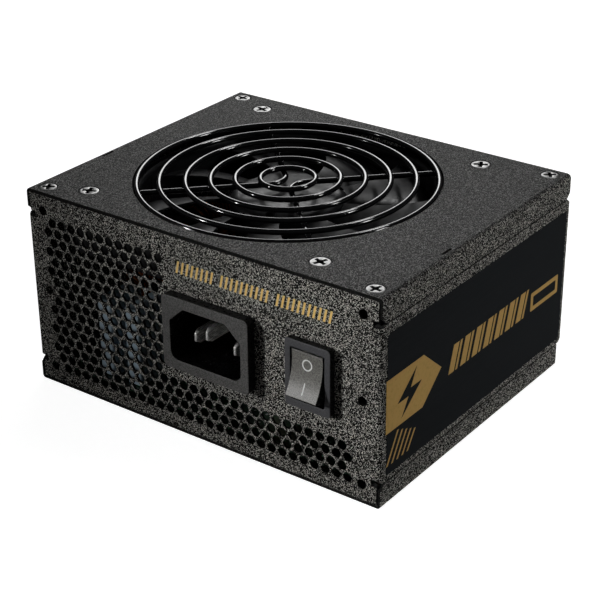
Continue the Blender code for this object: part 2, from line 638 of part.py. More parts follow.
def build_fan_inside():
    shaft = [(0, 57.2), (1.5, 57.2), (1.5, 46.8), (0, 46.8)]
    turned("fan_shaft", shaft, "bright_steel", (FAN_X, 0, 0), 16)
    sleeve = [(1.6, 54.8), (3.2, 54.8), (3.2, 47.2), (1.6, 47.2)]
    turned("fan_bearing", sleeve, "brass", (FAN_X, 0, 0), 16, closed=True)
    coil = [(4.8, 54.4), (9.0, 54.4), (10.2, 53.0), (14.6, 53.0),
            (14.6, 48.2), (10.2, 48.2), (9.0, 46.8), (4.8, 46.8)]
    turned("fan_stator", coil, "copper", (FAN_X, 0, 0), 20, closed=True)
    route = [(FAN_X + 9.5, 0.0, 43.9), (16.0, 6.0, 43.7), (30.0, 17.0, 43.2), (44.0, 25.0, 40.0),
             (50.0, 29.0, 30.0), (50.0, 30.0, 18.0), (50.0, 30.0, SEATING_Z + GAP)]
    wire_solid("fan_lead", smooth_path(route), LEAD_RADIUS, "capacitor_sleeve")


# ------------------------------------------------------------------ mains inlet and switch

def build_inlet():
    flange = rectangle(*INLET_FLANGE, 1.6, (INLET_X, INLET_Z))
    body = rectangle(*INLET_BODY, 0.8, (INLET_X, INLET_Z), 2)
    left, right = INLET_X - SOCKET_HALF[0], INLET_X + SOCKET_HALF[0]
    bottom, top = INLET_Z - SOCKET_HALF[1], INLET_Z + SOCKET_HALF[1]
    cut_x, cut_z = SOCKET_CHAMFER
    socket = rounded_outline([
        (left, bottom, 2.5), (right, bottom, 2.5), (right, top - cut_z, 0.8),
        (right - cut_x, top, 0.8), (left + cut_x, top, 0.8), (left, top - cut_z, 0.8)])
    housing = outline_solid("inlet_housing", flange, INLET_FACE_Y, REAR_Y - GAP, "Y", "black_plastic")
    join(housing, outline_solid("add_inlet_body", body, REAR_Y - 1.0, INLET_BACK_Y, "Y"))
    pins = inlet_pins()
    slot_x, slot_z = PIN_WIDTH / 2 + GAP, PIN_HEIGHT / 2 + GAP
    slots = [((x - slot_x, INLET_FLOOR_Y - 2, z - slot_z), (x + slot_x, INLET_BACK_Y + 2, z + slot_z))
             for x, z, _ in pins.values()]
    cut(housing, outline_solid("cut_inlet_socket", socket, INLET_FACE_Y - 1, INLET_FLOOR_Y, "Y"),
        boxes("cut_inlet_pin_slots", slots))
    for name, (x, z, tip_y) in pins.items():
        pin = boxes(name, [((x - PIN_WIDTH / 2, tip_y, z - PIN_HEIGHT / 2),
                            (x + PIN_WIDTH / 2, PIN_TAB_Y, z + PIN_HEIGHT / 2))], "bright_steel")
        round_edges(pin, 0.5, 1)


def inlet_pins():
    """Each pin's x, z and the y of its tip."""
    return {
        "inlet_pin_line": (INLET_X + INLET_PIN_SPACING, LIVE_PIN_Z, REAR_Y + 1.0),
        "inlet_pin_neutral": (INLET_X - INLET_PIN_SPACING, LIVE_PIN_Z, REAR_Y + 1.0),
        "inlet_pin_earth": (INLET_X, EARTH_PIN_Z, REAR_Y - 2.4),
    }


def build_inlet_leads():
    finishes = {"line": "brown_wire", "neutral": "blue_wire", "earth": "green_wire"}
    for pin_name, (x, z, _) in inlet_pins().items():
        name = pin_name.replace("inlet_pin_", "")
        y = PIN_TAB_Y + 2 * GAP
        route = [(x, y, z), (x, y + 2.5, z - 1.5), (x, y + 3.6, z - 6.0), (x, y + 3.2, 16.0),
                 (x, y + 2.6, SEATING_Z + GAP)]
        wire_solid(f"inlet_lead_{name}", smooth_path(route, 3), LEAD_RADIUS, finishes[name])


def build_switch():
    centre = (SWITCH_X, SWITCH_Z)
    housing = outline_solid("switch_housing", rectangle(*BEZEL, 1.2, centre), BEZEL_FACE_Y, REAR_Y - GAP,
                            "Y", "switch_plastic")
    join(housing, outline_solid("add_switch_body", rectangle(*SWITCH_BODY, 0.6, centre, 2),
                                REAR_Y - 1.0, SWITCH_BACK_Y, "Y"))
    cut(housing,
        outline_solid("cut_switch_opening", rectangle(*SWITCH_OPENING, 0.4, centre, 1),
                      BEZEL_FACE_Y - 1, SWITCH_FLOOR_Y, "Y"),
        rods("cut_pivot_sockets", [(ROCKER_PIVOT_Y, SWITCH_Z)], PIVOT_RADIUS + GAP,
             SWITCH_X - ROCKER_WIDTH / 2 - 1.0, SWITCH_X + ROCKER_WIDTH / 2 + 1.0, "X", 12))

    # Side view of the rocker about its pivot: u runs inwards (+Y) and v upwards.
    valley, tip, heel = (-2.85, 0.0), (-4.55, 6.55), (-2.3, 6.95)
    waist, foot = (1.6, 6.0), (3.9, 2.3)
    upper = [(*valley, 2.0), (*tip, 0.5), (*heel, 0.3), (*waist, 0.5), (*foot, 0.5)]
    lower = [(u, -v, radius) for u, v, radius in reversed(upper[1:])]
    outline = rounded_outline(upper + lower, 2)
    half_width = ROCKER_WIDTH / 2
    rocker = outline_solid("switch_rocker", outline, -half_width, half_width, "X", "switch_plastic",
                           (SWITCH_X, ROCKER_PIVOT_Y, SWITCH_Z))
    rocker.rotation_euler = (-ROCKER_TILT, 0.0, 0.0)
    stub_end = half_width + 0.7
    stubs = rods("add_pivot_stubs", [(0.0, 0.0)], PIVOT_RADIUS, -stub_end, stub_end, "X", 12)
    stubs.location = rocker.location
    join(rocker, stubs)


# ------------------------------------------------------------------ electronics

SOCKET_HEIGHT = 9.8
SOCKETS = {
    "socket_mainboard": (12, -28.0, 35.0),
    "socket_processor": (4, 24.0, 35.0),
    "socket_graphics": (4, -40.0, 17.0),
    "socket_drives_1": (3, -8.0, 17.0),
    "socket_drives_2": (3, 20.0, 17.0),
}


def socket_width(columns):
    return SOCKET_PITCH * columns + 1.8


def build_sockets():
    """Output sockets with two rows of square cells, and the board that carries them."""
    for name, (columns, x, z) in SOCKETS.items():
        half = socket_width(columns) / 2
        body = boxes(name, [((x - half, SOCKET_BACK_Y, z - SOCKET_HEIGHT / 2),
                             (x + half, SOCKET_FRONT_Y, z + SOCKET_HEIGHT / 2))], "black_plastic")
        cells = []
        for column in range(columns):
            cell_x = x + (column - (columns - 1) / 2) * SOCKET_PITCH
            for row in (-0.5, 0.5):
                cell_z = z + row * SOCKET_PITCH
                cells.append(((cell_x - 1.6, SOCKET_BACK_Y + 2.0, cell_z - 1.6),
                              (cell_x + 1.6, SOCKET_FRONT_Y + 1.0, cell_z + 1.6)))
        cut(body, boxes(f"cut_cells_{name}", cells))
    board_front = SOCKET_BACK_Y - GAP
    boxes("output_board", [((-57.5, board_front - 1.6, SEATING_Z), (57.5, board_front, 44.6))],
          "circuit_board")


def build_boards():
    boxes("main_board", [((-59.0, -48.5, BOARD_BOTTOM_Z), (59.0, 40.0, BOARD_TOP_Z))], "circuit_board")
    boxes("insulating_sheet", [((-51.0, -41.0, 1.2), (51.0, 40.0, 1.6))], "clear_film")
    low, high, radius = PANEL_BOTTOM_Z, BOARD_BOTTOM_Z - GAP, 2.4
    post = [(0, high), (radius, high), (radius, low), (0, low)]
    for number, (x, y) in enumerate([(-54.5, -38.0), (54.5, -38.0), (54.5, 34.0), (-54.5, 34.0)], 1):
        turned(f"standoff_{number}", post, "brass", (x, y, 0), 6)


def upright_capacitor(name, x, y, radius, height, finish):
    """A sleeved can with a rolled groove near its base."""
    low = SEATING_Z
    profile = [(0, low + height), (radius - 1.0, low + height), (radius, low + height - 1.0),
               (radius, low + 5.0), (radius - 0.8, low + 4.2), (radius, low + 3.4), (radius, low), (0, low)]
    turned(name, profile, finish, (x, y, 0), 16)


def choke(name, centre, ring_radius, core_radius, wound_steps, axis):
    """A toroid core inside an open-ended wound sleeve, both in steps of one eighteenth of a turn."""
    sides, full_steps = 6, 18
    core = [(ring_radius + core_radius * math.cos(math.tau * step / sides),
             -core_radius * math.sin(math.tau * step / sides)) for step in range(sides)]
    sleeve_inner = core_radius + GAP
    sleeve_outer = sleeve_inner + 1.1
    winding = [(ring_radius + sleeve_outer * math.cos(math.tau * step / sides),
                -sleeve_outer * math.sin(math.tau * step / sides)) for step in range(sides)]
    rotation = {"X": (0.0, math.pi / 2, 0.0), "Y": (math.pi / 2, 0.0, 0.0)}[axis]
    core_piece = turned(f"{name}_core", core, "ferrite", centre, full_steps, closed=True)
    core_piece.rotation_euler = rotation
    winding_piece = turned(f"{name}_winding", winding, "copper", centre, wound_steps, closed=True,
                           angle=360.0 * wound_steps / full_steps)
    winding_piece.rotation_euler = rotation
    shell = winding_piece.modifiers.new("Wire", "SOLIDIFY")
    shell.thickness = (sleeve_outer - sleeve_inner) * MM
    shell.offset = -1.0


def build_filter():
    for number, x in enumerate((-37.0, -26.5), 1):
        block = boxes(f"film_capacitor_{number}", [((x - 2.8, -47.5, SEATING_Z), (x + 2.8, -33.5, 33.0))],
                      "pale_blue_plastic")
        round_edges(block, 0.6, 1)
    choke("filter_choke", (-32.0, -25.5, 25.5), 11.0, 3.2, 15, "Y")
    choke("boost_choke", (-47.0, 12.0, 25.5), 11.5, 4.0, 16, "X")
    upright_capacitor("bulk_capacitor", 36.0, -7.0, 15.0, 34.0, "capacitor_sleeve")


def comb_outline(length, depth, base, fins):
    """A heatsink's section: a base strip with evenly spaced fins."""
    pitch = length / (2 * fins - 1)
    points = [(0.0, 0.0)]
    for fin in range(fins):
        start = 2 * fin * pitch
        points += [(start, depth), (start + pitch, depth)]
        if fin < fins - 1:
            points += [(start + pitch, base), (start + 2 * pitch, base)]
    return points + [(length, 0.0)]


def build_power_stage():
    fins = [(-15.0 - v, -16.0 + u) for u, v in comb_outline(36.0, 5.0, 1.8, 6)]
    outline_solid("primary_heatsink", [(x + 2.0, y) for x, y in fins], SEATING_Z, 40.0, "Z", "aluminium")
    rectifier = boxes("bridge_rectifier", [((-12.6, -15.0, 16.0), (-9.2, 5.0, 32.0))], "black_plastic")
    round_edges(rectifier, 0.6, 1)
    fins = [(-10.0 + u, 19.5 + v) for u, v in comb_outline(30.0, 5.0, 1.8, 5)]
    outline_solid("secondary_heatsink", fins, SEATING_Z, 38.0, "Z", "aluminium")

    # The transformer: a two-window core with its winding on the middle leg.
    x, y, half_x, half_y, low, high = 5.5, -3.5, 12.5, 7.0, 10.0, 38.0
    core = boxes("transformer_core", [((x - half_x, y - half_y, low), (x + half_x, y + half_y, high))],
                 "ferrite")
    windows = [((x - half_x + 3, y - 9, low + 4), (x - 4, y + 9, high - 4)),
               ((x + 4, y - 9, low + 4), (x + half_x - 3, y + 9, high - 4))]
    cut(core, boxes("cut_core_windows", windows))
    winding = outline_solid("transformer_winding", rectangle(18.2, 24.0, 4.0, (x, y)), low + 4.3, high - 4.3,
                            "Z", "yellow_tape")
    cut(winding, boxes("cut_winding_bore", [((x - 4.3, y - 7.3, low), (x + 4.3, y + 7.3, high))]))
    standby = boxes("standby_transformer", [((29.0, 12.0, SEATING_Z), (43.0, 25.0, 23.0))], "yellow_tape")
    round_edges(standby, 1.2, 1)
    upright_capacitor("output_capacitor_1", -4.0, 33.0, 4.0, 20.0, "capacitor_sleeve")
    upright_capacitor("output_capacitor_2", 8.0, 33.0, 4.0, 20.0, "capacitor_sleeve")


build_fan_guard()
build_fan_frame()
build_fan_rotor()
build_fan_inside()
build_inlet()
build_inlet_leads()
build_switch()
build_sockets()
build_boards()
build_filter()
build_power_stage()
build_screws()
build_labels()
build_top_cover()
build_bottom_tray()
build_chassis()
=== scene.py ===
"""Looks of a compact computer power supply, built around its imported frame.

Sizes are millimetres in the frame's axes: the origin is the middle of the underside, +Z is up on the
fan side and -Y is the rear with the mains inlet. Meshes are written in metres.
"""

import json
import math

import bmesh
import bpy
from mathutils import Matrix, Vector


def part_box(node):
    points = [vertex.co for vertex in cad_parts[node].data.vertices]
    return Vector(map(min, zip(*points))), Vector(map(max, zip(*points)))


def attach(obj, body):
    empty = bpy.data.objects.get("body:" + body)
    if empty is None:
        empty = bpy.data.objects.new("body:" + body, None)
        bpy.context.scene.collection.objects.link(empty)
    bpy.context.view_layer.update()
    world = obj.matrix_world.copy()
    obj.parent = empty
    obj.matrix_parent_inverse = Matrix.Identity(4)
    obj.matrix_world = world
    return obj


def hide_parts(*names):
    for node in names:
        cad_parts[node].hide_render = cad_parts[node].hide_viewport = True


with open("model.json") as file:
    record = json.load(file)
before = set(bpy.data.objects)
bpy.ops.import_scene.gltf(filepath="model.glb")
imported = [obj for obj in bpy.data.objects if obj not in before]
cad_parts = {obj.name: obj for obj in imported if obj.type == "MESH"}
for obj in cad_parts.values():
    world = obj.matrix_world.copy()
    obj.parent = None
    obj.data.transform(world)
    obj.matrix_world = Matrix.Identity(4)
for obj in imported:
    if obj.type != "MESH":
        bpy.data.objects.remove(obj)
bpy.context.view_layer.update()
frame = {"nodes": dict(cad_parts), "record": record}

MM = 0.001


def box_mm(node):
    """Lowest and highest corner of a CAD node, in millimetres."""
    low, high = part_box(node)
    return low / MM, high / MM


def middle_mm(node):
    low, high = box_mm(node)
    return (low + high) / 2


# Case
COVER_LOW, COVER_HIGH = box_mm("top_cover")
CHASSIS_LOW, CHASSIS_HIGH = box_mm("chassis")
HALF_WIDTH, REAR_Y, FRONT_Y, HEIGHT = COVER_HIGH.x, COVER_LOW.y, COVER_HIGH.y, COVER_HIGH.z
SHEET, GAP = 0.8, 0.3
COVER_FLANGE_Z = COVER_LOW.z
TRAY_FLANGE_Z = 7.3
WALL_BOTTOM_Z, WALL_TOP_Z = TRAY_FLANGE_Z + GAP, COVER_FLANGE_Z - GAP
PANEL_BOTTOM_Z, PANEL_TOP_Z = CHASSIS_LOW.z, CHASSIS_HIGH.z
PANEL_HALF_WIDTH = HALF_WIDTH - SHEET - 0.4
COVER_BEND, WALL_BEND = 1.4, 1.0
SEAM_CHAMFER, WALL_CHAMFER, TRAY_RELIEF = 1.8, 1.0, 1.8
SCREW_TAB_X, SCREW_TAB_DEPTH = (53.6, 60.9), 7.0

# Honeycomb vent: rows of upright hexagons, counted from the top
HEX_ACROSS_FLATS, HEX_CORNER = 2.75, 0.42
HEX_PITCH, HEX_ROW_STEP = 3.68, 3.187
HEX_TOP_Z, HEX_LEFT_X = 54.3, -53.0
HEX_NARROW_ROWS, HEX_WIDE_ROWS = 12, 4
HEX_NARROW_COUNT, HEX_WIDE_COUNT = 12, 29

# Screws
MOUNT_HOLE_RADIUS, MOUNT_HOLE_X, MOUNT_HOLE_Z = 1.45, 56.5, (6.0, 31.75, 57.5)
CASE_SCREW_X, CASE_SCREW_Y = 57.5, 46.0
CASE_HEAD_RADIUS, CASE_SHANK_RADIUS, CASE_SCREW_LENGTH = 2.65, 1.35, 5.0
FAN_HEAD_RADIUS, FAN_SHANK_RADIUS, FAN_SCREW_LENGTH = 3.0, 1.75, 11.0
HEAD_DEPTH = 1.05

# Fan and guard
FAN_LOW, FAN_HIGH = box_mm("fan_frame")
FAN_X, FAN_HALF = (FAN_LOW.x + FAN_HIGH.x) / 2, (FAN_HIGH.x - FAN_LOW.x) / 2
FAN_SCREW_OFFSET, FAN_BORE_RADIUS, COVER_HOLE_RADIUS = 41.25, 43.8, 45.8
HUB_RADIUS, HUB_TOP_Z, HUB_BOTTOM_Z = 17.4, 59.2, 49.2
BLADE_COUNT, BLADE_TIP_RADIUS, BLADE_THICKNESS = 9, 42.6, 1.1
SEAT_RADIUS = 16.0
GUARD_WIRE_RADIUS = 0.85
GUARD_RING_RADII = (8.15, 15.6, 22.9, 30.3, 38.0, 44.6)
GUARD_RING_Z, GUARD_SPOKE_Z = 63.05, 61.55
GUARD_EYE_RADIUS, SPOKE_BEND_RADIUS, SPOKE_APEX_X = 2.9, 6.0, 2.4

# Mains inlet
INLET_CENTRE = middle_mm("inlet_housing")
INLET_LOW, INLET_HIGH = box_mm("inlet_housing")
INLET_X, INLET_Z = INLET_CENTRE.x, INLET_CENTRE.z
INLET_FLANGE = (INLET_HIGH.x - INLET_LOW.x, INLET_HIGH.z - INLET_LOW.z)
INLET_BODY = (27.2, 19.4)
INLET_FACE_Y, INLET_FLOOR_Y, INLET_BACK_Y = INLET_LOW.y, -36.5, INLET_HIGH.y
SOCKET_HALF, SOCKET_CHAMFER = (12.4, 8.25), (5.0, 4.5)
INLET_PINS = ("inlet_pin_line", "inlet_pin_neutral", "inlet_pin_earth")

# Rocker switch
SWITCH_CENTRE = middle_mm("switch_housing")
SWITCH_LOW, SWITCH_HIGH = box_mm("switch_housing")
SWITCH_X, SWITCH_Z = SWITCH_CENTRE.x, SWITCH_CENTRE.z
BEZEL = (SWITCH_HIGH.x - SWITCH_LOW.x, SWITCH_HIGH.z - SWITCH_LOW.z)
SWITCH_BODY, SWITCH_OPENING = (12.9, 18.6), (11.1, 15.8)
BEZEL_FACE_Y, SWITCH_FLOOR_Y, SWITCH_BACK_Y = SWITCH_LOW.y, -44.2, SWITCH_HIGH.y
ROCKER_WIDTH, ROCKER_PIVOT_Y, ROCKER_TILT, PIVOT_RADIUS = 10.2, -49.7, math.radians(14.5), 1.0
ROCKER_FACE_RADIUS, ROCKER_FACE_DEPTH = 18.0, -3.3

# Output sockets
SOCKET_PITCH, SOCKET_HEIGHT = 4.2, 9.8
SOCKET_BACK_Y, SOCKET_FRONT_Y = 42.5, FRONT_Y + 0.6
SOCKETS = {
    "socket_mainboard": (12, -28.0, 35.0),
    "socket_processor": (4, 24.0, 35.0),
    "socket_graphics": (4, -40.0, 17.0),
    "socket_drives_1": (3, -8.0, 17.0),
    "socket_drives_2": (3, 20.0, 17.0),
}

AXIS_FRAMES = {
    "X": Matrix(((0, 0, 1), (1, 0, 0), (0, 1, 0))).to_4x4(),
    "Y": Matrix(((1, 0, 0), (0, 0, -1), (0, 1, 0))).to_4x4(),
    "Z": Matrix.Identity(4),
}


# ------------------------------------------------------------------ camera and light

def make_camera():
    """A long lens that looks down on the corner between the rear and the switch side."""
    azimuth, elevation, roll = math.radians(36.5), math.radians(26.97), math.radians(-0.52)
    focal_in_pixels, image_width, sensor = 1641.8, 600, 36.0
    camera = bpy.data.objects.new("camera", bpy.data.cameras.new("camera"))
    camera.data.sensor_width = sensor
    camera.data.lens = focal_in_pixels / image_width * sensor
    camera.data.clip_start = 0.01
    camera.data.clip_end = 20.0
    back = Vector((math.sin(azimuth) * math.cos(elevation), -math.cos(azimuth) * math.cos(elevation),
                   math.sin(elevation)))
    level = Vector((math.cos(azimuth), math.sin(azimuth), 0.0))
    upright = back.cross(level)
    right = level * math.cos(roll) + upright * math.sin(roll)
    up = upright * math.cos(roll) - level * math.sin(roll)
    camera.matrix_world = Matrix((right, up, back)).transposed().to_4x4()
    camera.location = Vector((264.3, -357.9, 250.6)) * MM
    bpy.context.scene.collection.objects.link(camera)
    bpy.context.scene.camera = camera


def make_lamp(name, place, target, size, power, spread=180.0):
    """A rectangular lamp aimed at a target; a smaller spread in degrees narrows its beam."""
    light = bpy.data.lights.new(name, "AREA")
    light.spread = math.radians(spread)
    light.shape = "RECTANGLE"
    light.size, light.size_y = size
    light.energy = power
    lamp = bpy.data.objects.new(name, light)
    lamp.location = place
    lamp.rotation_mode = "QUATERNION"
    lamp.rotation_quaternion = (Vector(place) - Vector(target)).to_track_quat("Z", "Y")
    bpy.context.scene.collection.objects.link(lamp)


def brighter_when_seen(tree, strength, unseen, seen):
    """Sets a strength input to one value for the picture and another for the light it throws."""
    camera_ray = tree.nodes.new("ShaderNodeLightPath").outputs["Is Camera Ray"]
    choice = tree.nodes.new("ShaderNodeMapRange")
    choice.inputs["To Min"].default_value = unseen
    choice.inputs["To Max"].default_value = seen
    tree.links.new(camera_ray, choice.inputs["Value"])
    tree.links.new(choice.outputs["Result"], strength)


def make_studio():
    """Lamps behind and overhead for the top, a low key light on the rear panel, and a side fill."""
    centre = Vector((0.0, 0.0, HEIGHT / 2 * MM))
    make_lamp("back_softbox", (-0.41, 0.57, 0.40), centre, (0.34, 0.28), 1.35)
    make_lamp("overhead_lamp", (0.06, 0.68, 1.12), centre, (0.2, 0.2), 3.8)
    make_lamp("rear_panel_key", (-0.60, -0.76, 0.38), (0.074, -0.05, 0.045), (0.12, 0.12), 0.041, 12.0)
    make_lamp("side_lamp", (1.2, 0.35, 0.4), (0.0625, 0.06, 0.035), (0.2, 0.2), 0.072, 20.0)
    world = bpy.data.worlds.new("studio")
    world.use_nodes = True
    background = world.node_tree.nodes["Background"]
    brighter_when_seen(world.node_tree, background.inputs["Strength"], 0.028, 1.0)
    background.inputs["Color"].default_value = (1.0, 1.0, 1.0, 1.0)
    bpy.context.scene.world = world
    bpy.context.scene.view_settings.view_transform = "Standard"


def make_floor():
    bm = bmesh.new()
    bmesh.ops.create_grid(bm, x_segments=8, y_segments=8, size=6.0)
    mesh = bpy.data.meshes.new("floor")
    bm.to_mesh(mesh)
    bm.free()
    look = Look("light_table", (0.4, 0.4, 0.4), 0.9, Specular_IOR_Level=0.0)
    look.shader.inputs["Emission Color"].default_value = (1.0, 1.0, 1.0, 1.0)
    brighter_when_seen(look.material.node_tree, look.shader.inputs["Emission Strength"], 0.0, 0.95)
    look.bump(look.noise(0.8), 0.01)
    mesh.materials.append(look.material)
    floor = bpy.data.objects.new("floor", mesh)
    floor.location.z = -0.0002
    bpy.context.scene.collection.objects.link(floor)


# ------------------------------------------------------------------ materials

class Look:
    """A Principled material, with short calls for the node patterns that drive it."""

    def __init__(self, name, color, roughness, metallic=0.0, **sockets):
        self.material = bpy.data.materials.new(name)
        self.material.use_nodes = True
        self.nodes = self.material.node_tree.nodes
        self.links = self.material.node_tree.links
        self.shader = self.nodes["Principled BSDF"]
        self.shader.inputs["Base Color"].default_value = (*color, 1.0)
        self.shader.inputs["Roughness"].default_value = roughness
        self.shader.inputs["Metallic"].default_value = metallic
        for socket, value in sockets.items():
            self.shader.inputs[socket.replace("_", " ")].default_value = value
        self.place = self.nodes.new("ShaderNodeTexCoord").outputs["Object"]

    def add(self, kind, links=(), **settings):
        """A node with its attributes set and its inputs linked to sockets or given values."""
        node = self.nodes.new(f"ShaderNode{kind}")
        for key, value in settings.items():
            setattr(node, key, value)
        for key, value in dict(links).items():
            if isinstance(value, bpy.types.NodeSocket):
                self.links.new(value, node.inputs[key])
            else:
                node.inputs[key].default_value = value
        return node

    def stretched(self, x=1.0, y=1.0, z=1.0):
        """The piece's coordinates, divided so that a pattern is that many times longer along each axis."""
        return self.add("Mapping", {"Vector": self.place, "Scale": (1 / x, 1 / y, 1 / z)}).outputs["Vector"]

    def noise(self, grain, detail=2.0, rough=0.5, place=None):
        """Soft noise with spots about grain millimetres across."""
        links = {"Vector": place or self.place, "Scale": 0.5 / (grain * MM), "Detail": detail,
                 "Roughness": rough}
        return self.add("TexNoise", links).outputs["Fac"]

    def cells(self, size, output="Distance", place=None, **settings):
        links = {"Vector": place or self.place, "Scale": 1 / (size * MM)}
        return self.add("TexVoronoi", links, **settings).outputs[output]

    def ramp(self, factor, *stops):
        """A colour ramp; each stop is (position, grey) or (position, (r, g, b))."""
        node = self.add("ValToRGB", {"Fac": factor})
        elements = node.color_ramp.elements
        for index, (position, color) in enumerate(stops):
            element = elements[index] if index < 2 else elements.new(position)
            element.position = position
            rgb = color if isinstance(color, tuple) else (color, color, color)
            element.color = (*rgb, 1.0)
        return node.outputs["Color"]

    def blend(self, factor, first, second):
        """Mixes two colours, each a socket or (r, g, b)."""
        node = self.nodes.new("ShaderNodeMix")
        node.data_type = "RGBA"
        for socket, value in ((node.inputs[0], factor), (node.inputs[6], first), (node.inputs[7], second)):
            if isinstance(value, bpy.types.NodeSocket):
                self.links.new(value, socket)
            elif isinstance(value, tuple):
                socket.default_value = (*value, 1.0)
            else:
                socket.default_value = value
        return node.outputs[2]

    def span(self, value, low, high, to_low, to_high):
        """Maps a value's range to another one."""
        links = {"Value": value, "From Min": low, "From Max": high, "To Min": to_low, "To Max": to_high}
        return self.add("MapRange", links).outputs["Result"]

    def sums(self, operation, first, second):
        return self.add("Math", {0: first, 1: second}, operation=operation).outputs[0]

    def facing_up(self):
        """0 on walls and 1 on faces that look upwards, smooth between."""
        normal = self.nodes.new("ShaderNodeNewGeometry").outputs["Normal"]
        height = self.add("SeparateXYZ", {"Vector": normal}).outputs["Z"]
        return self.span(height, 0.35, 0.9, 0.0, 1.0)

    def edges(self, width):
        """1 along sharp outer edges and 0 on flat faces."""
        rounded = self.add("Bevel", {"Radius": width * MM}, samples=4).outputs["Normal"]
        normal = self.nodes.new("ShaderNodeNewGeometry").outputs["Normal"]
        likeness = self.add("VectorMath", {0: rounded, 1: normal}, operation="DOT_PRODUCT").outputs["Value"]
        return self.span(likeness, 0.97, 0.8, 0.0, 1.0)

    def color(self, source):
        self.links.new(source, self.shader.inputs["Base Color"])

    def roughness(self, source):
        self.links.new(source, self.shader.inputs["Roughness"])

    def bump(self, height, depth, strength=1.0):
        """Relief of about depth millimetres; later calls add to earlier ones."""
        node = self.add("Bump", {"Height": height, "Strength": strength, "Distance": depth * MM})
        earlier = self.shader.inputs["Normal"].links
        if earlier:
            self.links.new(earlier[0].from_socket, node.inputs["Normal"])
        self.links.new(node.outputs["Normal"], self.shader.inputs["Normal"])


def wrinkle_powder_coat():
    """Black powder coat: a grain whose light specks are painted glints, sharp and near white on the walls and
    calmer on upward faces; the split between walls and upward faces is painted light.
    """
    look = Look("wrinkle_powder_coat", (0.05, 0.05, 0.05), 0.6, Specular_IOR_Level=0.1)
    up = look.facing_up()
    grain_glint_cells = look.cells(0.2, "Color")
    hills = look.noise(0.16, 1.0)
    # The bright stops of both ramps are painted glints; walls and upward faces are lit and shaded copies of
    # one coat, painted light.
    wall = look.ramp(grain_glint_cells, (0.46, (0.001, 0.001, 0.001)), (0.8, (0.95, 0.932, 0.855)),
                     (0.65, (0.030, 0.029, 0.026)))
    top = look.ramp(grain_glint_cells, (0.3, (0.001, 0.001, 0.001)), (0.86, (0.34, 0.337, 0.325)),
                    (0.6, (0.030, 0.030, 0.0295)))
    paint = look.blend(up, wall, top)
    patches = look.span(look.noise(9.0, 3.0), 0.3, 0.7, 0.0, 0.2)
    paint = look.blend(patches, paint, (0.028, 0.028, 0.027))
    # Lighter rims along edges: partly wear, partly a painted edge highlight.
    wear_and_edge_highlight = look.sums("MULTIPLY", look.edges(0.3), look.span(look.noise(1.2, 3.0), 0.35, 0.65, 0.2, 0.8))
    look.color(look.blend(wear_and_edge_highlight, paint, (0.26, 0.255, 0.235)))
    look.roughness(look.span(hills, 0.3, 0.7, 0.5, 0.72))
    look.bump(look.sums("MULTIPLY", hills, look.span(up, 0.0, 1.0, 1.0, 0.4)), 0.12)
    look.bump(look.noise(0.1, 1.0), 0.02)
    return look.material


def sheet_edge_coat_and_shade():
    """Thin dark coat on sheared sheet edges and hole walls, made near black as painted shade for the seams,
    gaps and countersinks.
    """
    look = Look("sheet_edge_coat_and_shade", (0.006, 0.006, 0.006), 0.55, Specular_IOR_Level=0.08)
    grain = look.noise(0.2, 2.0)
    paint = look.ramp(grain, (0.4, (0.002, 0.002, 0.002)), (0.68, (0.026, 0.0255, 0.024)))
    # Lighter rim along the edges: partly wear, partly a painted edge highlight.
    look.color(look.blend(look.span(look.edges(0.15), 0.0, 1.0, 0.0, 0.35), paint, (0.12, 0.118, 0.11)))
    look.roughness(look.span(grain, 0.3, 0.7, 0.45, 0.65))
    look.bump(grain, 0.04)
    return look.material


def gloss_black_wire():
    """Glossy black dip coat, with slow thickness waves and a little dust."""
    look = Look("gloss_black_wire", (0.002, 0.002, 0.0024), 0.1, Coat_Weight=0.3, Coat_Roughness=0.05)
    dust = look.span(look.noise(0.35, 3.0), 0.62, 0.72, 0.0, 0.03)
    look.color(look.blend(dust, (0.0025, 0.0025, 0.003), (0.2, 0.2, 0.19)))
    look.roughness(look.span(look.noise(2.5, 2.0), 0.3, 0.7, 0.08, 0.14))
    look.bump(look.noise(2.4, 1.0), 0.004)
    return look.material


def zinc_plated_steel():
    """Bright plated steel with turning marks, small stains and rubbed edges."""
    look = Look("zinc_plated_steel", (0.25, 0.25, 0.245), 0.35, 1.0)
    stains = look.noise(0.7, 4.0)
    rubbed = look.edges(0.2)
    tone = look.ramp(stains, (0.3, (0.13, 0.13, 0.128)), (0.7, (0.27, 0.27, 0.265)))
    look.color(look.blend(rubbed, tone, (0.5, 0.5, 0.49)))
    look.roughness(look.span(look.noise(0.25, 3.0), 0.3, 0.7, 0.24, 0.4))
    look.bump(look.noise(0.09, 2.0, place=look.stretched(4.0, 1.0, 1.0)), 0.006)
    return look.material


def bright_nickel():
    """Nickel-plated contact metal with fine drawing lines along its length."""
    look = Look("bright_nickel", (0.85, 0.84, 0.81), 0.3, 0.45)
    drawn = look.noise(0.1, 2.0, place=look.stretched(1.0, 12.0, 1.0))
    look.color(look.ramp(drawn, (0.3, (0.72, 0.71, 0.68)), (0.7, (0.95, 0.94, 0.91))))
    look.roughness(look.span(drawn, 0.3, 0.7, 0.2, 0.34))
    look.bump(drawn, 0.006)
    return look.material


def shaded_screw_recess():
    """The dark inside of a driver recess, painted near black as shade."""
    look = Look("shaded_screw_recess", (0.008, 0.008, 0.008), 0.5, 0.0, Specular_IOR_Level=0.1)
    look.color(look.ramp(look.noise(0.3, 3.0), (0.35, 0.003), (0.7, 0.015)))
    look.bump(look.noise(0.15), 0.02)
    return look.material


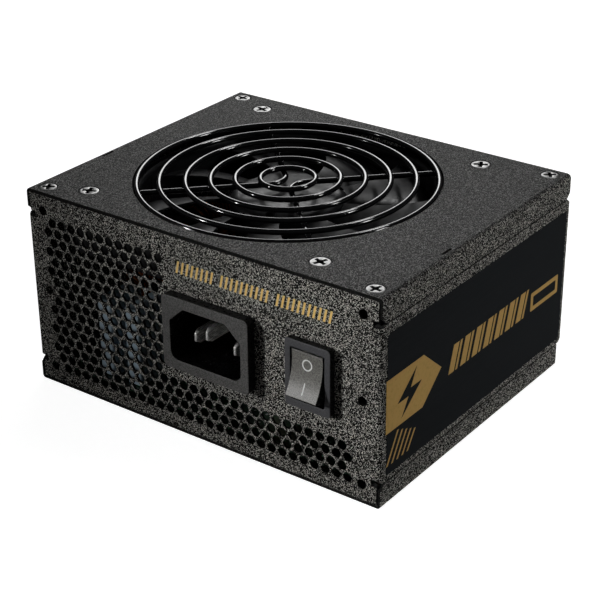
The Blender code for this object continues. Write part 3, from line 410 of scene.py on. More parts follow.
def moulded_plastic(name, tone, gloss, grain=0.2, relief=0.02, speckle=0.35, **sockets):
    """Dark moulded plastic: spark-eroded grain, faint flow marks and rubbed edges."""
    look = Look(name, tone, gloss, **sockets)
    dark = tuple(value * (1 - speckle) for value in tone)
    light = tuple(value * (1 + speckle) for value in tone)
    grained = look.noise(grain, 2.0)
    paint = look.ramp(grained, (0.35, dark), (0.65, light))
    flow = look.span(look.noise(6.0, 2.0, place=look.stretched(1.0, 1.0, 2.5)), 0.3, 0.7, 0.0, 0.25)
    paint = look.blend(flow, paint, dark)
    rubbed = look.sums("MULTIPLY", look.edges(0.2), look.span(look.noise(0.9), 0.35, 0.6, 0.15, 0.7))
    look.color(look.blend(rubbed, paint, tuple(min(1.0, value * 2.6 + 0.02) for value in tone)))
    look.roughness(look.span(grained, 0.3, 0.7, gloss - 0.07, gloss + 0.07))
    look.bump(grained, relief)
    return look.material


def brushed_aluminium():
    look = Look("brushed_aluminium", (0.7, 0.71, 0.72), 0.35, 1.0)
    grain = look.noise(0.12, 3.0, place=look.stretched(1.0, 1.0, 30.0))
    look.color(look.ramp(grain, (0.3, (0.52, 0.53, 0.54)), (0.7, (0.8, 0.81, 0.82))))
    look.roughness(look.span(grain, 0.3, 0.7, 0.28, 0.5))
    look.bump(grain, 0.01)
    return look.material


def turned_brass():
    look = Look("turned_brass", (0.75, 0.6, 0.32), 0.3, 1.0)
    tarnish = look.noise(1.5, 4.0)
    look.color(look.ramp(tarnish, (0.3, (0.5, 0.36, 0.16)), (0.7, (0.8, 0.64, 0.34))))
    look.roughness(look.span(tarnish, 0.3, 0.7, 0.45, 0.25))
    look.bump(look.noise(0.1, 2.0), 0.008)
    return look.material


def enamelled_copper():
    """Copper wire under clear orange enamel."""
    look = Look("enamelled_copper", (0.75, 0.22, 0.06), 0.28, 0.85, Coat_Weight=0.8, Coat_Roughness=0.08)
    tone = look.noise(1.4, 3.0)
    look.color(look.ramp(tone, (0.3, (0.55, 0.13, 0.03)), (0.7, (0.9, 0.33, 0.1))))
    look.roughness(look.span(tone, 0.3, 0.7, 0.2, 0.38))
    look.bump(look.noise(0.5, 2.0), 0.02)
    return look.material


def sintered_ferrite():
    look = Look("sintered_ferrite", (0.05, 0.05, 0.052), 0.6)
    grain = look.noise(0.25, 3.0)
    look.color(look.ramp(grain, (0.3, (0.025, 0.025, 0.027)), (0.7, (0.085, 0.085, 0.088))))
    look.roughness(look.span(grain, 0.3, 0.7, 0.75, 0.5))
    look.bump(grain, 0.04)
    return look.material


def circuit_board():
    """Solder mask over square-cornered copper traces, with small tinned pads."""
    look = Look("circuit_board", (0.02, 0.09, 0.045), 0.4, Coat_Weight=0.3)
    squares = look.cells(4.5, distance="CHEBYCHEV", feature="DISTANCE_TO_EDGE")
    traces = look.span(squares, 0.08, 0.11, 1.0, 0.0)
    mask = look.ramp(look.noise(7.0, 3.0), (0.3, (0.004, 0.014, 0.008)), (0.7, (0.007, 0.024, 0.013)))
    board = look.blend(traces, mask, (0.012, 0.045, 0.02))
    pads = look.span(look.cells(3.1), 0.12, 0.15, 1.0, 0.0)
    look.color(look.blend(pads, board, (0.5, 0.51, 0.5)))
    look.roughness(look.span(pads, 0.0, 1.0, 0.42, 0.28))
    look.bump(look.sums("ADD", traces, pads), 0.05)
    return look.material


def wound_tape():
    """Yellow insulating tape in overlapping level turns."""
    look = Look("wound_tape", (0.72, 0.5, 0.06), 0.4, Coat_Weight=0.4)
    laps = look.add("TexWave", {"Vector": look.place, "Scale": 55.0, "Distortion": 0.6}, bands_direction="Z")
    tone = look.ramp(laps.outputs["Fac"], (0.1, (0.5, 0.32, 0.03)), (0.9, (0.8, 0.58, 0.08)))
    look.color(look.blend(look.span(look.noise(3.0, 3.0), 0.35, 0.7, 0.0, 0.4), tone, (0.42, 0.26, 0.04)))
    look.roughness(look.span(look.noise(0.6, 2.0), 0.3, 0.7, 0.3, 0.5))
    look.bump(laps.outputs["Fac"], 0.12)
    return look.material


def shrink_sleeve():
    """Glossy dark shrink sleeve with lengthwise wrinkles."""
    look = Look("shrink_sleeve", (0.02, 0.02, 0.03), 0.25, Coat_Weight=0.5)
    wrinkles = look.noise(1.5, 2.0, place=look.stretched(1.0, 1.0, 4.0))
    look.color(look.ramp(wrinkles, (0.3, (0.012, 0.012, 0.02)), (0.7, (0.035, 0.035, 0.05))))
    look.roughness(look.span(wrinkles, 0.3, 0.7, 0.2, 0.36))
    look.bump(wrinkles, 0.06)
    return look.material


def insulating_film():
    look = Look("insulating_film", (0.12, 0.12, 0.12), 0.35, Coat_Weight=0.3)
    creases = look.noise(12.0, 3.0)
    look.color(look.ramp(creases, (0.3, (0.08, 0.08, 0.082)), (0.7, (0.17, 0.17, 0.172))))
    look.roughness(look.span(creases, 0.3, 0.7, 0.25, 0.45))
    look.bump(creases, 0.2)
    return look.material


def wire_insulation(name, tone):
    look = Look(name, tone, 0.42)
    grime = look.noise(2.0, 3.0)
    dark = tuple(value * 0.65 for value in tone)
    look.color(look.ramp(grime, (0.3, dark), (0.7, tone)))
    look.roughness(look.span(grime, 0.3, 0.7, 0.5, 0.35))
    look.bump(look.noise(0.6), 0.02)
    return look.material


def satin_label_film():
    """Smooth printed film, near black, with faint orange peel and a few fine scuffs."""
    look = Look("satin_label_film", (0.02, 0.022, 0.0245), 0.42, Specular_IOR_Level=0.015)
    scuffs = look.noise(0.5, 3.0, place=look.stretched(1.0, 14.0, 1.0))
    look.color(look.ramp(scuffs, (0.35, (0.0175, 0.0195, 0.0215)), (0.8, (0.0225, 0.0245, 0.0265))))
    look.roughness(look.span(scuffs, 0.3, 0.75, 0.38, 0.5))
    look.bump(look.noise(0.8, 1.0), 0.004)
    return look.material


def print_ink(name, tone, metallic, gloss):
    """A printed layer with small pinholes and uneven cover."""
    look = Look(name, tone, gloss, metallic)
    cover = look.noise(0.45, 3.0)
    thin = tuple(value * 0.9 for value in tone)
    look.color(look.ramp(cover, (0.3, thin), (0.5, tone)))
    look.roughness(look.span(cover, 0.3, 0.7, gloss + 0.1, gloss - 0.05))
    look.bump(look.noise(0.3, 2.0), 0.01)
    return look.material


def make_looks():
    """Every material by name, with the record's slot that it belongs to."""
    return {
        "black_steel": (wrinkle_powder_coat(), "black_steel"),
        "black_wire": (gloss_black_wire(), "black_wire"),
        "bright_steel": (zinc_plated_steel(), "bright_steel"),
        "shaded_screw_recess": (shaded_screw_recess(), "bright_steel"),
        "nickel": (bright_nickel(), "bright_steel"),
        "shaded_cut_edge": (sheet_edge_coat_and_shade(), "black_steel"),
        "black_plastic": (moulded_plastic("inlet_plastic", (0.12, 0.118, 0.115), 0.5, 0.15, 0.03, 0.5,
                                          Specular_IOR_Level=0.2), "black_plastic"),
        # Near-black plastic for sides and insides: polished moulding, darkened further as painted shade.
        "shaded_polished_black": (moulded_plastic("shaded_polished_black_plastic", (0.005, 0.005, 0.0055), 0.3, 0.3, 0.004,
                                           0.3, Specular_IOR_Level=0.2), "black_plastic"),
        "socket_plastic": (moulded_plastic("socket_plastic", (0.02, 0.02, 0.021), 0.42), "black_plastic"),
        "switch_plastic": (moulded_plastic("bezel_plastic", (0.09, 0.09, 0.096), 0.38, 0.25, 0.01, 0.2,
                                           Specular_IOR_Level=0.2),
                           "switch_plastic"),
        "rocker_plastic": (moulded_plastic("rocker_plastic", (0.2, 0.195, 0.178), 0.42, 0.15, 0.03, 0.5),
                           "switch_plastic"),
        "fan_plastic": (moulded_plastic("fan_plastic", (0.012, 0.012, 0.013), 0.36, 0.5, 0.006, 0.2,
                                        Specular_IOR_Level=0.25),
                        "fan_plastic"),
        "brass": (turned_brass(), "brass"),
        "copper": (enamelled_copper(), "copper"),
        "ferrite": (sintered_ferrite(), "ferrite"),
        "aluminium": (brushed_aluminium(), "aluminium"),
        "circuit_board": (circuit_board(), "circuit_board"),
        "yellow_tape": (wound_tape(), "yellow_tape"),
        "pale_blue_plastic": (moulded_plastic("pale_blue_plastic", (0.42, 0.53, 0.62), 0.35, 0.5, 0.01, 0.1),
                              "pale_blue_plastic"),
        "capacitor_sleeve": (shrink_sleeve(), "capacitor_sleeve"),
        "clear_film": (insulating_film(), "clear_film"),
        "brown_wire": (wire_insulation("brown_insulation", (0.2, 0.08, 0.03)), "brown_wire"),
        "blue_wire": (wire_insulation("blue_insulation", (0.03, 0.1, 0.4)), "blue_wire"),
        "green_wire": (wire_insulation("green_insulation", (0.05, 0.3, 0.06)), "green_wire"),
        "label_film": (satin_label_film(), "label_film"),
        "gold_ink": (print_ink("gold_ink", (0.66, 0.41, 0.11), 0.1, 0.5), "label_film"),
        "bright_gold_ink": (print_ink("bright_gold_ink", (1.0, 0.72, 0.24), 0.0, 0.5), "black_steel"),
        "white_ink": (print_ink("white_ink", (0.95, 0.95, 0.93), 0.0, 0.5), "switch_plastic"),
    }


# ------------------------------------------------------------------ building helpers

def place(name, mesh, look=None, body="case", stands_for=(), location=(0, 0, 0)):
    """Links a mesh as a shown piece of a body, or as a loose tool shape where it has no look."""
    piece = bpy.data.objects.new(name, mesh)
    piece.location = Vector(location) * MM
    bpy.context.scene.collection.objects.link(piece)
    if look is not None:
        material, slot = LOOKS[look]
        mesh.materials.clear()
        mesh.materials.append(material)
        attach(piece, body)
        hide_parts(*stands_for)
    return piece


def finish_bmesh(name, bm, look=None, **placing):
    bmesh.ops.recalc_face_normals(bm, faces=bm.faces)
    bmesh.ops.scale(bm, vec=(MM, MM, MM), verts=bm.verts)
    mesh = bpy.data.meshes.new(name)
    bm.to_mesh(mesh)
    bm.free()
    return place(name, mesh, look, **placing)


def add_box(bm, low, high):
    low, high = Vector(low), Vector(high)
    transform = Matrix.Translation((low + high) / 2) @ Matrix.Diagonal((*(high - low), 1.0))
    bmesh.ops.create_cube(bm, size=1.0, matrix=transform)


def bridge(bm, ring, following):
    """Quads between two closed rings that have the same number of points."""
    for index in range(len(ring)):
        after = (index + 1) % len(ring)
        bm.faces.new((ring[index], ring[after], following[after], following[index]))


def add_prism(bm, outline, low, high, axis="Z", end_scale=1.0, middle=(0.0, 0.0)):
    """A closed prism between two heights; its high end is scaled about the middle."""
    turn = AXIS_FRAMES[axis]
    sign = -1.0 if axis == "Y" else 1.0
    centre = Vector(middle)
    ends = []
    for height, scale in ((low, 1.0), (high, end_scale)):
        ring = [centre + (Vector(point) - centre) * scale for point in outline]
        ends.append([bm.verts.new(turn @ Vector((u, v, sign * height))) for u, v in ring])
    start, end = ends
    bm.faces.new(start)
    bm.faces.new(end)
    bridge(bm, start, end)


def add_turned(bm, profile, segments, centre=(0.0, 0.0)):
    """Turns a closed profile of (radius, height) points about a vertical axis."""
    rings = []
    for step in range(segments):
        angle = math.tau * step / segments
        x, y = math.cos(angle), math.sin(angle)
        rings.append([bm.verts.new((centre[0] + radius * x, centre[1] + radius * y, height))
                      for radius, height in profile])
    for ring, following in zip(rings, rings[1:] + rings[:1]):
        bridge(bm, ring, following)
    bmesh.ops.remove_doubles(bm, verts=[vert for ring in rings for vert in ring], dist=0.0001)


def add_tube(bm, path, radius, sides=12, closed=False):
    """A round wire along a path, closed on itself or with domed ends."""
    points = [Vector(point) for point in path]
    count = len(points)
    normal = None
    rings = []
    for index, point in enumerate(points):
        before = points[index - 1] if closed or index else point
        after = points[(index + 1) % count] if closed or index < count - 1 else point
        tangent = (after - before).normalized()
        if normal is None:
            normal = Vector((0.0, 0.0, 1.0)) if abs(tangent.z) < 0.9 else Vector((1.0, 0.0, 0.0))
        normal = (normal - tangent * normal.dot(tangent)).normalized()
        side = tangent.cross(normal)
        rings.append([bm.verts.new(point + radius * (normal * math.cos(math.tau * step / sides)
                                                     + side * math.sin(math.tau * step / sides)))
                      for step in range(sides)])
    pairs = zip(rings, rings[1:] + rings[:1]) if closed else zip(rings, rings[1:])
    for ring, following in pairs:
        bridge(bm, ring, following)
    if not closed:
        for ring, end, neighbour in ((rings[0], points[0], points[1]), (rings[-1], points[-1], points[-2])):
            tip = bm.verts.new(end + (end - neighbour).normalized() * radius * 0.35)
            for step in range(sides):
                bm.faces.new((ring[step], ring[(step + 1) % sides], tip))


def rounded_outline(corners, steps=4):
    """Outline points of a polygon whose corners are (x, y, radius)."""
    points = []
    for index, (x, y, radius) in enumerate(corners):
        here = Vector((x, y))
        if radius == 0:
            points.append(tuple(here))
            continue
        before = (Vector(corners[index - 1][:2]) - here).normalized()
        after = (Vector(corners[(index + 1) % len(corners)][:2]) - here).normalized()
        half_angle = before.angle(after) / 2
        centre = here + (before + after).normalized() * radius / math.sin(half_angle)
        start = here + before * radius / math.tan(half_angle) - centre
        end = here + after * radius / math.tan(half_angle) - centre
        sweep = math.atan2(start.x * end.y - start.y * end.x, start.dot(end))
        for step in range(steps + 1):
            points.append(tuple(centre + Matrix.Rotation(sweep * step / steps, 2) @ start))
    return points


def rectangle(width, height, radius=0.0, centre=(0.0, 0.0), steps=4):
    x, y = centre
    signs = ((-1, -1), (1, -1), (1, 1), (-1, 1))
    return rounded_outline([(x + sx * width / 2, y + sy * height / 2, radius) for sx, sy in signs], steps)


def circle(radius, centre=(0.0, 0.0), steps=24):
    return [(centre[0] + radius * math.cos(math.tau * step / steps),
             centre[1] + radius * math.sin(math.tau * step / steps)) for step in range(steps)]


def circle_path(radius, centre, height, steps):
    return [(x, y, height) for x, y in circle(radius, centre, steps)]


def prisms(name, outlines, low, high, axis="Z", look=None, stands_for=(), body="case"):
    """One object of straight prisms between two heights along an axis."""
    bm = bmesh.new()
    for outline in outlines:
        add_prism(bm, outline, low, high, axis)
    return finish_bmesh(name, bm, look, stands_for=stands_for, body=body)


def turned(name, profile, segments, centre=(0.0, 0.0), look=None, **placing):
    bm = bmesh.new()
    add_turned(bm, profile, segments, centre)
    return finish_bmesh(name, bm, look, **placing)


def boxes(name, corner_pairs):
    bm = bmesh.new()
    for low, high in corner_pairs:
        add_box(bm, low, high)
    return finish_bmesh(name, bm)


def mirrored_points(x, y):
    return [(-x, -y), (x, -y), (x, y), (-x, y)]


def settle(piece):
    """Makes the evaluated mesh the piece's own and drops its modifiers."""
    evaluated = piece.evaluated_get(bpy.context.evaluated_depsgraph_get())
    mesh = bpy.data.meshes.new_from_object(evaluated)
    piece.modifiers.clear()
    piece.data = mesh


def combine(piece, operation, *others):
    """Booleans with loose tool shapes, which are then removed."""
    for other in others:
        boolean = piece.modifiers.new(operation.title(), "BOOLEAN")
        boolean.operation = operation
        boolean.solver = "EXACT"
        boolean.material_mode = "TRANSFER"
        boolean.object = other
    settle(piece)
    for other in others:
        bpy.data.objects.remove(other, do_unlink=True)


def cut(piece, look, *cutters):
    """Cuts a piece; the walls of each cut get the named look."""
    for cutter in cutters:
        cutter.data.materials.append(LOOKS[look][0])
    combine(piece, "DIFFERENCE", *cutters)


def repaint(piece, look, chosen):
    """Gives the polygons for which chosen(normal, middle in mm) is true another look."""
    piece.data.materials.append(LOOKS[look][0])
    for polygon in piece.data.polygons:
        if chosen(polygon.normal, polygon.center / MM):
            polygon.material_index = len(piece.data.materials) - 1


def smooth(piece, edge=0.0, angle=40.0, segments=2):
    """Small rounded edges where asked for, then smooth shading that keeps large faces flat."""
    if edge:
        bevel = piece.modifiers.new("Edges", "BEVEL")
        bevel.width = edge * MM
        bevel.segments = segments
        bevel.limit_method = "ANGLE"
        bevel.angle_limit = math.radians(angle)
        bevel.use_clamp_overlap = False
        settle(piece)
    piece.data.shade_smooth()
    if edge:
        weighted = piece.modifiers.new("Flat faces", "WEIGHTED_NORMAL")
        weighted.weight = 100
    else:
        piece.data.set_sharp_from_angle(angle=math.radians(angle))
    return piece


# ------------------------------------------------------------------ case

def folded_sheet(name, floor_points, folds, outward, radius, stands_for):
    """A flat outline with folded edges, (first point index, offset), bent and given its thickness inwards."""
    bm = bmesh.new()
    verts = [bm.verts.new(point) for point in floor_points]
    floor = bm.faces.new(verts)
    for index, offset in folds:
        edge = bm.edges.get((verts[index], verts[(index + 1) % len(verts)]))
        raised = bmesh.ops.extrude_edge_only(bm, edges=[edge])["geom"]
        raised_verts = [item for item in raised if isinstance(item, bmesh.types.BMVert)]
        bmesh.ops.translate(bm, vec=offset, verts=raised_verts)
    bmesh.ops.recalc_face_normals(bm, faces=bm.faces)
    if floor.normal.dot(Vector(outward)) < 0:
        bmesh.ops.reverse_faces(bm, faces=bm.faces)
    bmesh.ops.scale(bm, vec=(MM, MM, MM), verts=bm.verts)
    mesh = bpy.data.meshes.new(name)
    bm.to_mesh(mesh)
    bm.free()
    piece = place(name, mesh, "black_steel", stands_for=stands_for)
    # Sheet edges take the near-black cut-edge look, painted shade for the seams.
    mesh.materials.append(LOOKS["shaded_cut_edge"][0])
    bend = piece.modifiers.new("Fold", "BEVEL")
    bend.width = radius * MM
    bend.segments = 6
    bend.limit_method = "ANGLE"
    bend.angle_limit = math.radians(60)
    thickness = piece.modifiers.new("Sheet", "SOLIDIFY")
    thickness.thickness = SHEET * MM
    thickness.offset = -1.0
    thickness.use_even_offset = True
    thickness.material_offset_rim = 1
    return piece


def seam_notches(name, height, size):
    """Corner wedges that chamfer a sheet's seam edge at the rear and front."""
    bm = bmesh.new()
    side = size * math.sqrt(2)
    for x in (-HALF_WIDTH, HALF_WIDTH):
        for y in (REAR_Y, FRONT_Y):
            turn = Matrix.Translation((x, y, height)) @ Matrix.Rotation(math.radians(45), 4, "X")
            bmesh.ops.create_cube(bm, size=1.0, matrix=turn @ Matrix.Diagonal((6.0, side, side, 1.0)))
    return finish_bmesh(name, bm)


def cone_seats(name, centres, head_radius, outer_z, up):
    """Countersunk holes that widen towards the outside, up (1) or down (-1)."""
    reach = 0.4
    narrow, wide = head_radius - SHEET * 0.9 + GAP - reach, head_radius + GAP * 0.6 + reach
    bm = bmesh.new()
    for centre in centres:
        start, end = outer_z - up * (SHEET + reach), outer_z + up * reach
        outline = circle(narrow, centre, 32)
        add_prism(bm, outline, start, end, "Z", wide / narrow, centre)
    return finish_bmesh(name, bm)


def fan_screw_places():
    return [(FAN_X + x, y) for x, y in mirrored_points(FAN_SCREW_OFFSET, FAN_SCREW_OFFSET)]


def build_top_cover():
    outline = [(-HALF_WIDTH, REAR_Y, HEIGHT), (HALF_WIDTH, REAR_Y, HEIGHT),
               (HALF_WIDTH, FRONT_Y, HEIGHT), (-HALF_WIDTH, FRONT_Y, HEIGHT)]
    drop = (0.0, 0.0, COVER_FLANGE_Z - HEIGHT)
    cover = folded_sheet("top_cover_sheet", outline, [(1, drop), (3, drop)], (0, 0, 1), COVER_BEND,
                         ["top_cover"])
    slots = [rectangle(0.8, 4.5, 0.35, (x, -16.75), 3) for x in (-60.6, 60.6)]
    cut(cover, "shaded_cut_edge",
        prisms("fan_hole_cutter", [circle(COVER_HOLE_RADIUS, (FAN_X, 0.0), 144)], 60.0, 66.0),
        cone_seats("fan_seat_cutter", fan_screw_places(), FAN_HEAD_RADIUS, HEIGHT, 1),
        cone_seats("case_seat_cutter", mirrored_points(CASE_SCREW_X, CASE_SCREW_Y), CASE_HEAD_RADIUS,
                   HEIGHT, 1),
        prisms("slot_cutter", slots, 60.0, 66.0),
        seam_notches("cover_corner_cutter", COVER_FLANGE_Z, SEAM_CHAMFER))
    smooth(cover, 0.12)


def hexagon_centres():
    centres = []
    for row in range(HEX_NARROW_ROWS + HEX_WIDE_ROWS):
        wide = row >= HEX_NARROW_ROWS
        shifted = row % 2 == 1
        count = (HEX_WIDE_COUNT + shifted) if wide else HEX_NARROW_COUNT
        left = HEX_LEFT_X - HEX_PITCH / 2 * shifted
        z = HEX_TOP_Z - HEX_ROW_STEP * row
        centres += [(left + HEX_PITCH * column, z) for column in range(count)]
    return [(x, z) for x, z in centres if all(math.hypot(abs(x) - MOUNT_HOLE_X, z - hole_z) > 3.3
                                              for hole_z in MOUNT_HOLE_Z)]


def rounded_hexagon(x, z):
    reach = HEX_ACROSS_FLATS / math.sqrt(3)
    corners = [(u, v, HEX_CORNER) for u, v in circle(reach, (x, z), 6)]
    return rounded_outline(corners, 2)


def build_chassis():
    outline = [(-HALF_WIDTH, REAR_Y, PANEL_BOTTOM_Z), (HALF_WIDTH, REAR_Y, PANEL_BOTTOM_Z),
               (HALF_WIDTH, REAR_Y, PANEL_TOP_Z), (-HALF_WIDTH, REAR_Y, PANEL_TOP_Z)]
    back = (0.0, FRONT_Y - REAR_Y, 0.0)
    chassis = folded_sheet("chassis_sheet", outline, [(1, back), (3, back)], (0, -1, 0), WALL_BEND,
                           ["chassis"])
    outside = HALF_WIDTH + 5.0
    side_bands, tabs, joggles, bridges = [], [], [], []
    tab_low, tab_high = PANEL_BOTTOM_Z + 0.05, PANEL_TOP_Z - 0.05
    for side in (-1, 1):
        near, far = sorted((side * PANEL_HALF_WIDTH, side * outside))
        side_bands.append(((near, REAR_Y - 5.0, WALL_TOP_Z), (far, FRONT_Y + 5.0, HEIGHT + 5.0)))
        side_bands.append(((near, REAR_Y - 5.0, -5.0), (far, FRONT_Y + 5.0, WALL_BOTTOM_Z)))
        near, far = sorted((side * SCREW_TAB_X[0], side * SCREW_TAB_X[1]))
        tab_start, tab_end = REAR_Y + SHEET / 2, REAR_Y + SCREW_TAB_DEPTH
        tabs.append(((near, tab_start, PANEL_TOP_Z - SHEET), (far, tab_end, tab_high)))
        tabs.append(((near, tab_start, tab_low), (far, tab_end, PANEL_BOTTOM_Z + SHEET)))
        tabs.append(((near, 40.0, tab_low), (far, 48.8, PANEL_BOTTOM_Z + SHEET)))
        near, far = sorted((side * (PANEL_HALF_WIDTH - SHEET), side * PANEL_HALF_WIDTH))
        joggles.append(((near, 40.0, PANEL_BOTTOM_Z), (far, 49.0, 14.0)))
        near, far = sorted((side * (PANEL_HALF_WIDTH - 0.2), side * (HALF_WIDTH - 0.2)))
        bridges.append(((near, 40.2, 9.0), (far, 48.6, 13.0)))
    hole_low, hole_high = REAR_Y - 3.0, REAR_Y + 3.0
    inlet_hole = rectangle(INLET_BODY[0] + 2 * GAP, INLET_BODY[1] + 2 * GAP, 1.0, (INLET_X, INLET_Z))
    switch_hole = rectangle(SWITCH_BODY[0] + 2 * GAP, SWITCH_BODY[1] + 2 * GAP, 0.3, (SWITCH_X, SWITCH_Z))
    mount_holes = [circle(MOUNT_HOLE_RADIUS, (side * MOUNT_HOLE_X, z), 28) for side in (-1, 1)
                   for z in MOUNT_HOLE_Z]
    cut(chassis, "shaded_cut_edge",
        boxes("band_cutter", side_bands),
        seam_notches("wall_top_cutter", WALL_TOP_Z, WALL_CHAMFER),
        seam_notches("wall_bottom_cutter", WALL_BOTTOM_Z, WALL_CHAMFER),
        prisms("panel_hole_cutter", [inlet_hole, switch_hole, *mount_holes], hole_low, hole_high, "Y"),
        prisms("honeycomb_cutter", [rounded_hexagon(x, z) for x, z in hexagon_centres()],
               hole_low, hole_high, "Y"))
    combine(chassis, "UNION", boxes("joggles", joggles), boxes("joggle_bridges", bridges),
            boxes("tabs", tabs))
    case_screws = mirrored_points(CASE_SCREW_X, CASE_SCREW_Y)
    tab_holes = [circle(CASE_SHANK_RADIUS + GAP, point) for point in case_screws]
    cut(chassis, "shaded_cut_edge", prisms("tab_hole_cutter", tab_holes, -1.0, HEIGHT + 1.0))
    smooth(chassis, 0.1)


def build_bottom_tray():
    relief_x, relief_y = HALF_WIDTH - TRAY_RELIEF, FRONT_Y - TRAY_RELIEF
    outline = [(-HALF_WIDTH, REAR_Y, 0), (HALF_WIDTH, REAR_Y, 0), (HALF_WIDTH, relief_y, 0),
               (relief_x, relief_y, 0), (relief_x, FRONT_Y, 0), (-relief_x, FRONT_Y, 0),
               (-relief_x, relief_y, 0), (-HALF_WIDTH, relief_y, 0)]
    flange, wall = (0.0, 0.0, TRAY_FLANGE_Z), (0.0, 0.0, PANEL_TOP_Z)
    tray = folded_sheet("bottom_tray_sheet", outline, [(1, flange), (7, flange), (4, wall)], (0, 0, -1),
                        WALL_BEND, ["bottom_tray"])
    tabs = []
    for side in (-1, 1):
        near, far = sorted((side * SCREW_TAB_X[0], side * SCREW_TAB_X[1]))
        tabs.append(((near, FRONT_Y - SCREW_TAB_DEPTH, PANEL_TOP_Z - SHEET),
                     (far, FRONT_Y - SHEET / 2, PANEL_TOP_Z - 0.05)))
    combine(tray, "UNION", boxes("front_tabs", tabs))
    socket_holes = []
    for columns, x, z in SOCKETS.values():
        socket_holes.append(rectangle(socket_width(columns) + 2 * GAP, SOCKET_HEIGHT + 2 * GAP, 0.4, (x, z)))
    case_screws = mirrored_points(CASE_SCREW_X, CASE_SCREW_Y)
    tab_holes = [circle(CASE_SHANK_RADIUS + GAP, point) for point in case_screws if point[1] > 0]
    cut(tray, "shaded_cut_edge",
        cone_seats("tray_seat_cutter", case_screws, CASE_HEAD_RADIUS, 0.0, -1),
        prisms("front_tab_cutter", tab_holes, 50.0, HEIGHT),
        prisms("socket_hole_cutter", socket_holes, FRONT_Y - 3.0, FRONT_Y + 3.0, "Y"),
        seam_notches("tray_corner_cutter", TRAY_FLANGE_Z, SEAM_CHAMFER))
    smooth(tray, 0.12)


def plus_outline(reach, width):
    """A cross with arms of that reach and width."""
    half = width / 2
    return [(reach, -half), (reach, half), (half, half), (half, reach), (-half, reach), (-half, half),
            (-reach, half), (-reach, -half), (-half, -half), (-half, -reach), (half, -reach), (half, -half)]


def build_screw(node, centre, outer_z, up, sizes, turn):
    """A countersunk cross-recess screw with a threaded shank, its head flush with the sheet."""
    head_radius, shank_radius, length = sizes
    thread_pitch, thread_depth = 0.6, 0.22
    profile = [(0.0, 0.0), (head_radius - 0.45, 0.0), (head_radius - 0.12, -0.06), (head_radius, -0.2),
               (head_radius - 0.08, -0.3), (shank_radius, -HEAD_DEPTH)]
    turns = int((length - HEAD_DEPTH - 1.4) / thread_pitch)
    for number in range(turns):
        top = -HEAD_DEPTH - 0.2 - number * thread_pitch
        profile += [(shank_radius, top), (shank_radius - thread_depth, top - thread_pitch / 2)]
    profile += [(shank_radius - thread_depth, -length + 1.0), (0.0, -length)]
    screw = turned(f"{node}_threaded", profile, 40, look="bright_steel", stands_for=[node])
    screw.data.materials.append(LOOKS["shaded_screw_recess"][0])
    bm = bmesh.new()
    add_prism(bm, plus_outline(head_radius * 0.72, head_radius * 0.34), 0.1, -1.5, "Z", 0.6)
    recess = finish_bmesh("recess_cutter", bm)
    bm = bmesh.new()
    add_prism(bm, circle(head_radius * 0.34, (0, 0), 16), 0.1, -1.1, "Z", 0.2)
    # The recess walls take the near-black look, painted shade.
    cut(screw, "shaded_screw_recess", recess, finish_bmesh("pit_cutter", bm))
    place_in_case = Matrix.Translation(Vector((*centre, outer_z)) * MM)
    flip = Matrix.Rotation(0.0 if up > 0 else math.pi, 4, "X")
    screw.data.transform(place_in_case @ flip @ Matrix.Rotation(turn, 4, "Z"))
    smooth(screw, 0.05, 35.0)


def build_screws():
    case_sizes = (CASE_HEAD_RADIUS, CASE_SHANK_RADIUS, CASE_SCREW_LENGTH)
    fan_sizes = (FAN_HEAD_RADIUS, FAN_SHANK_RADIUS, FAN_SCREW_LENGTH)
    case_places = mirrored_points(CASE_SCREW_X, CASE_SCREW_Y)
    groups = (("cover_screw", case_places, HEIGHT, 1, case_sizes),
              ("tray_screw", case_places, 0.0, -1, case_sizes),
              ("fan_screw", fan_screw_places(), HEIGHT, 1, fan_sizes))
    for group, centres, height, up, sizes in groups:
        for number, centre in enumerate(centres, 1):
            turn = math.radians(20 + 47 * number + 5 * len(group))
            build_screw(f"{group}_{number}", centre, height, up, sizes, turn)


# ------------------------------------------------------------------ labels and prints

def slanted_bar(u, v, width, height, lean):
    """A parallelogram from its lower left corner."""
    return [(u, v), (u + width, v), (u + width + lean, v + height), (u + lean, v + height)]


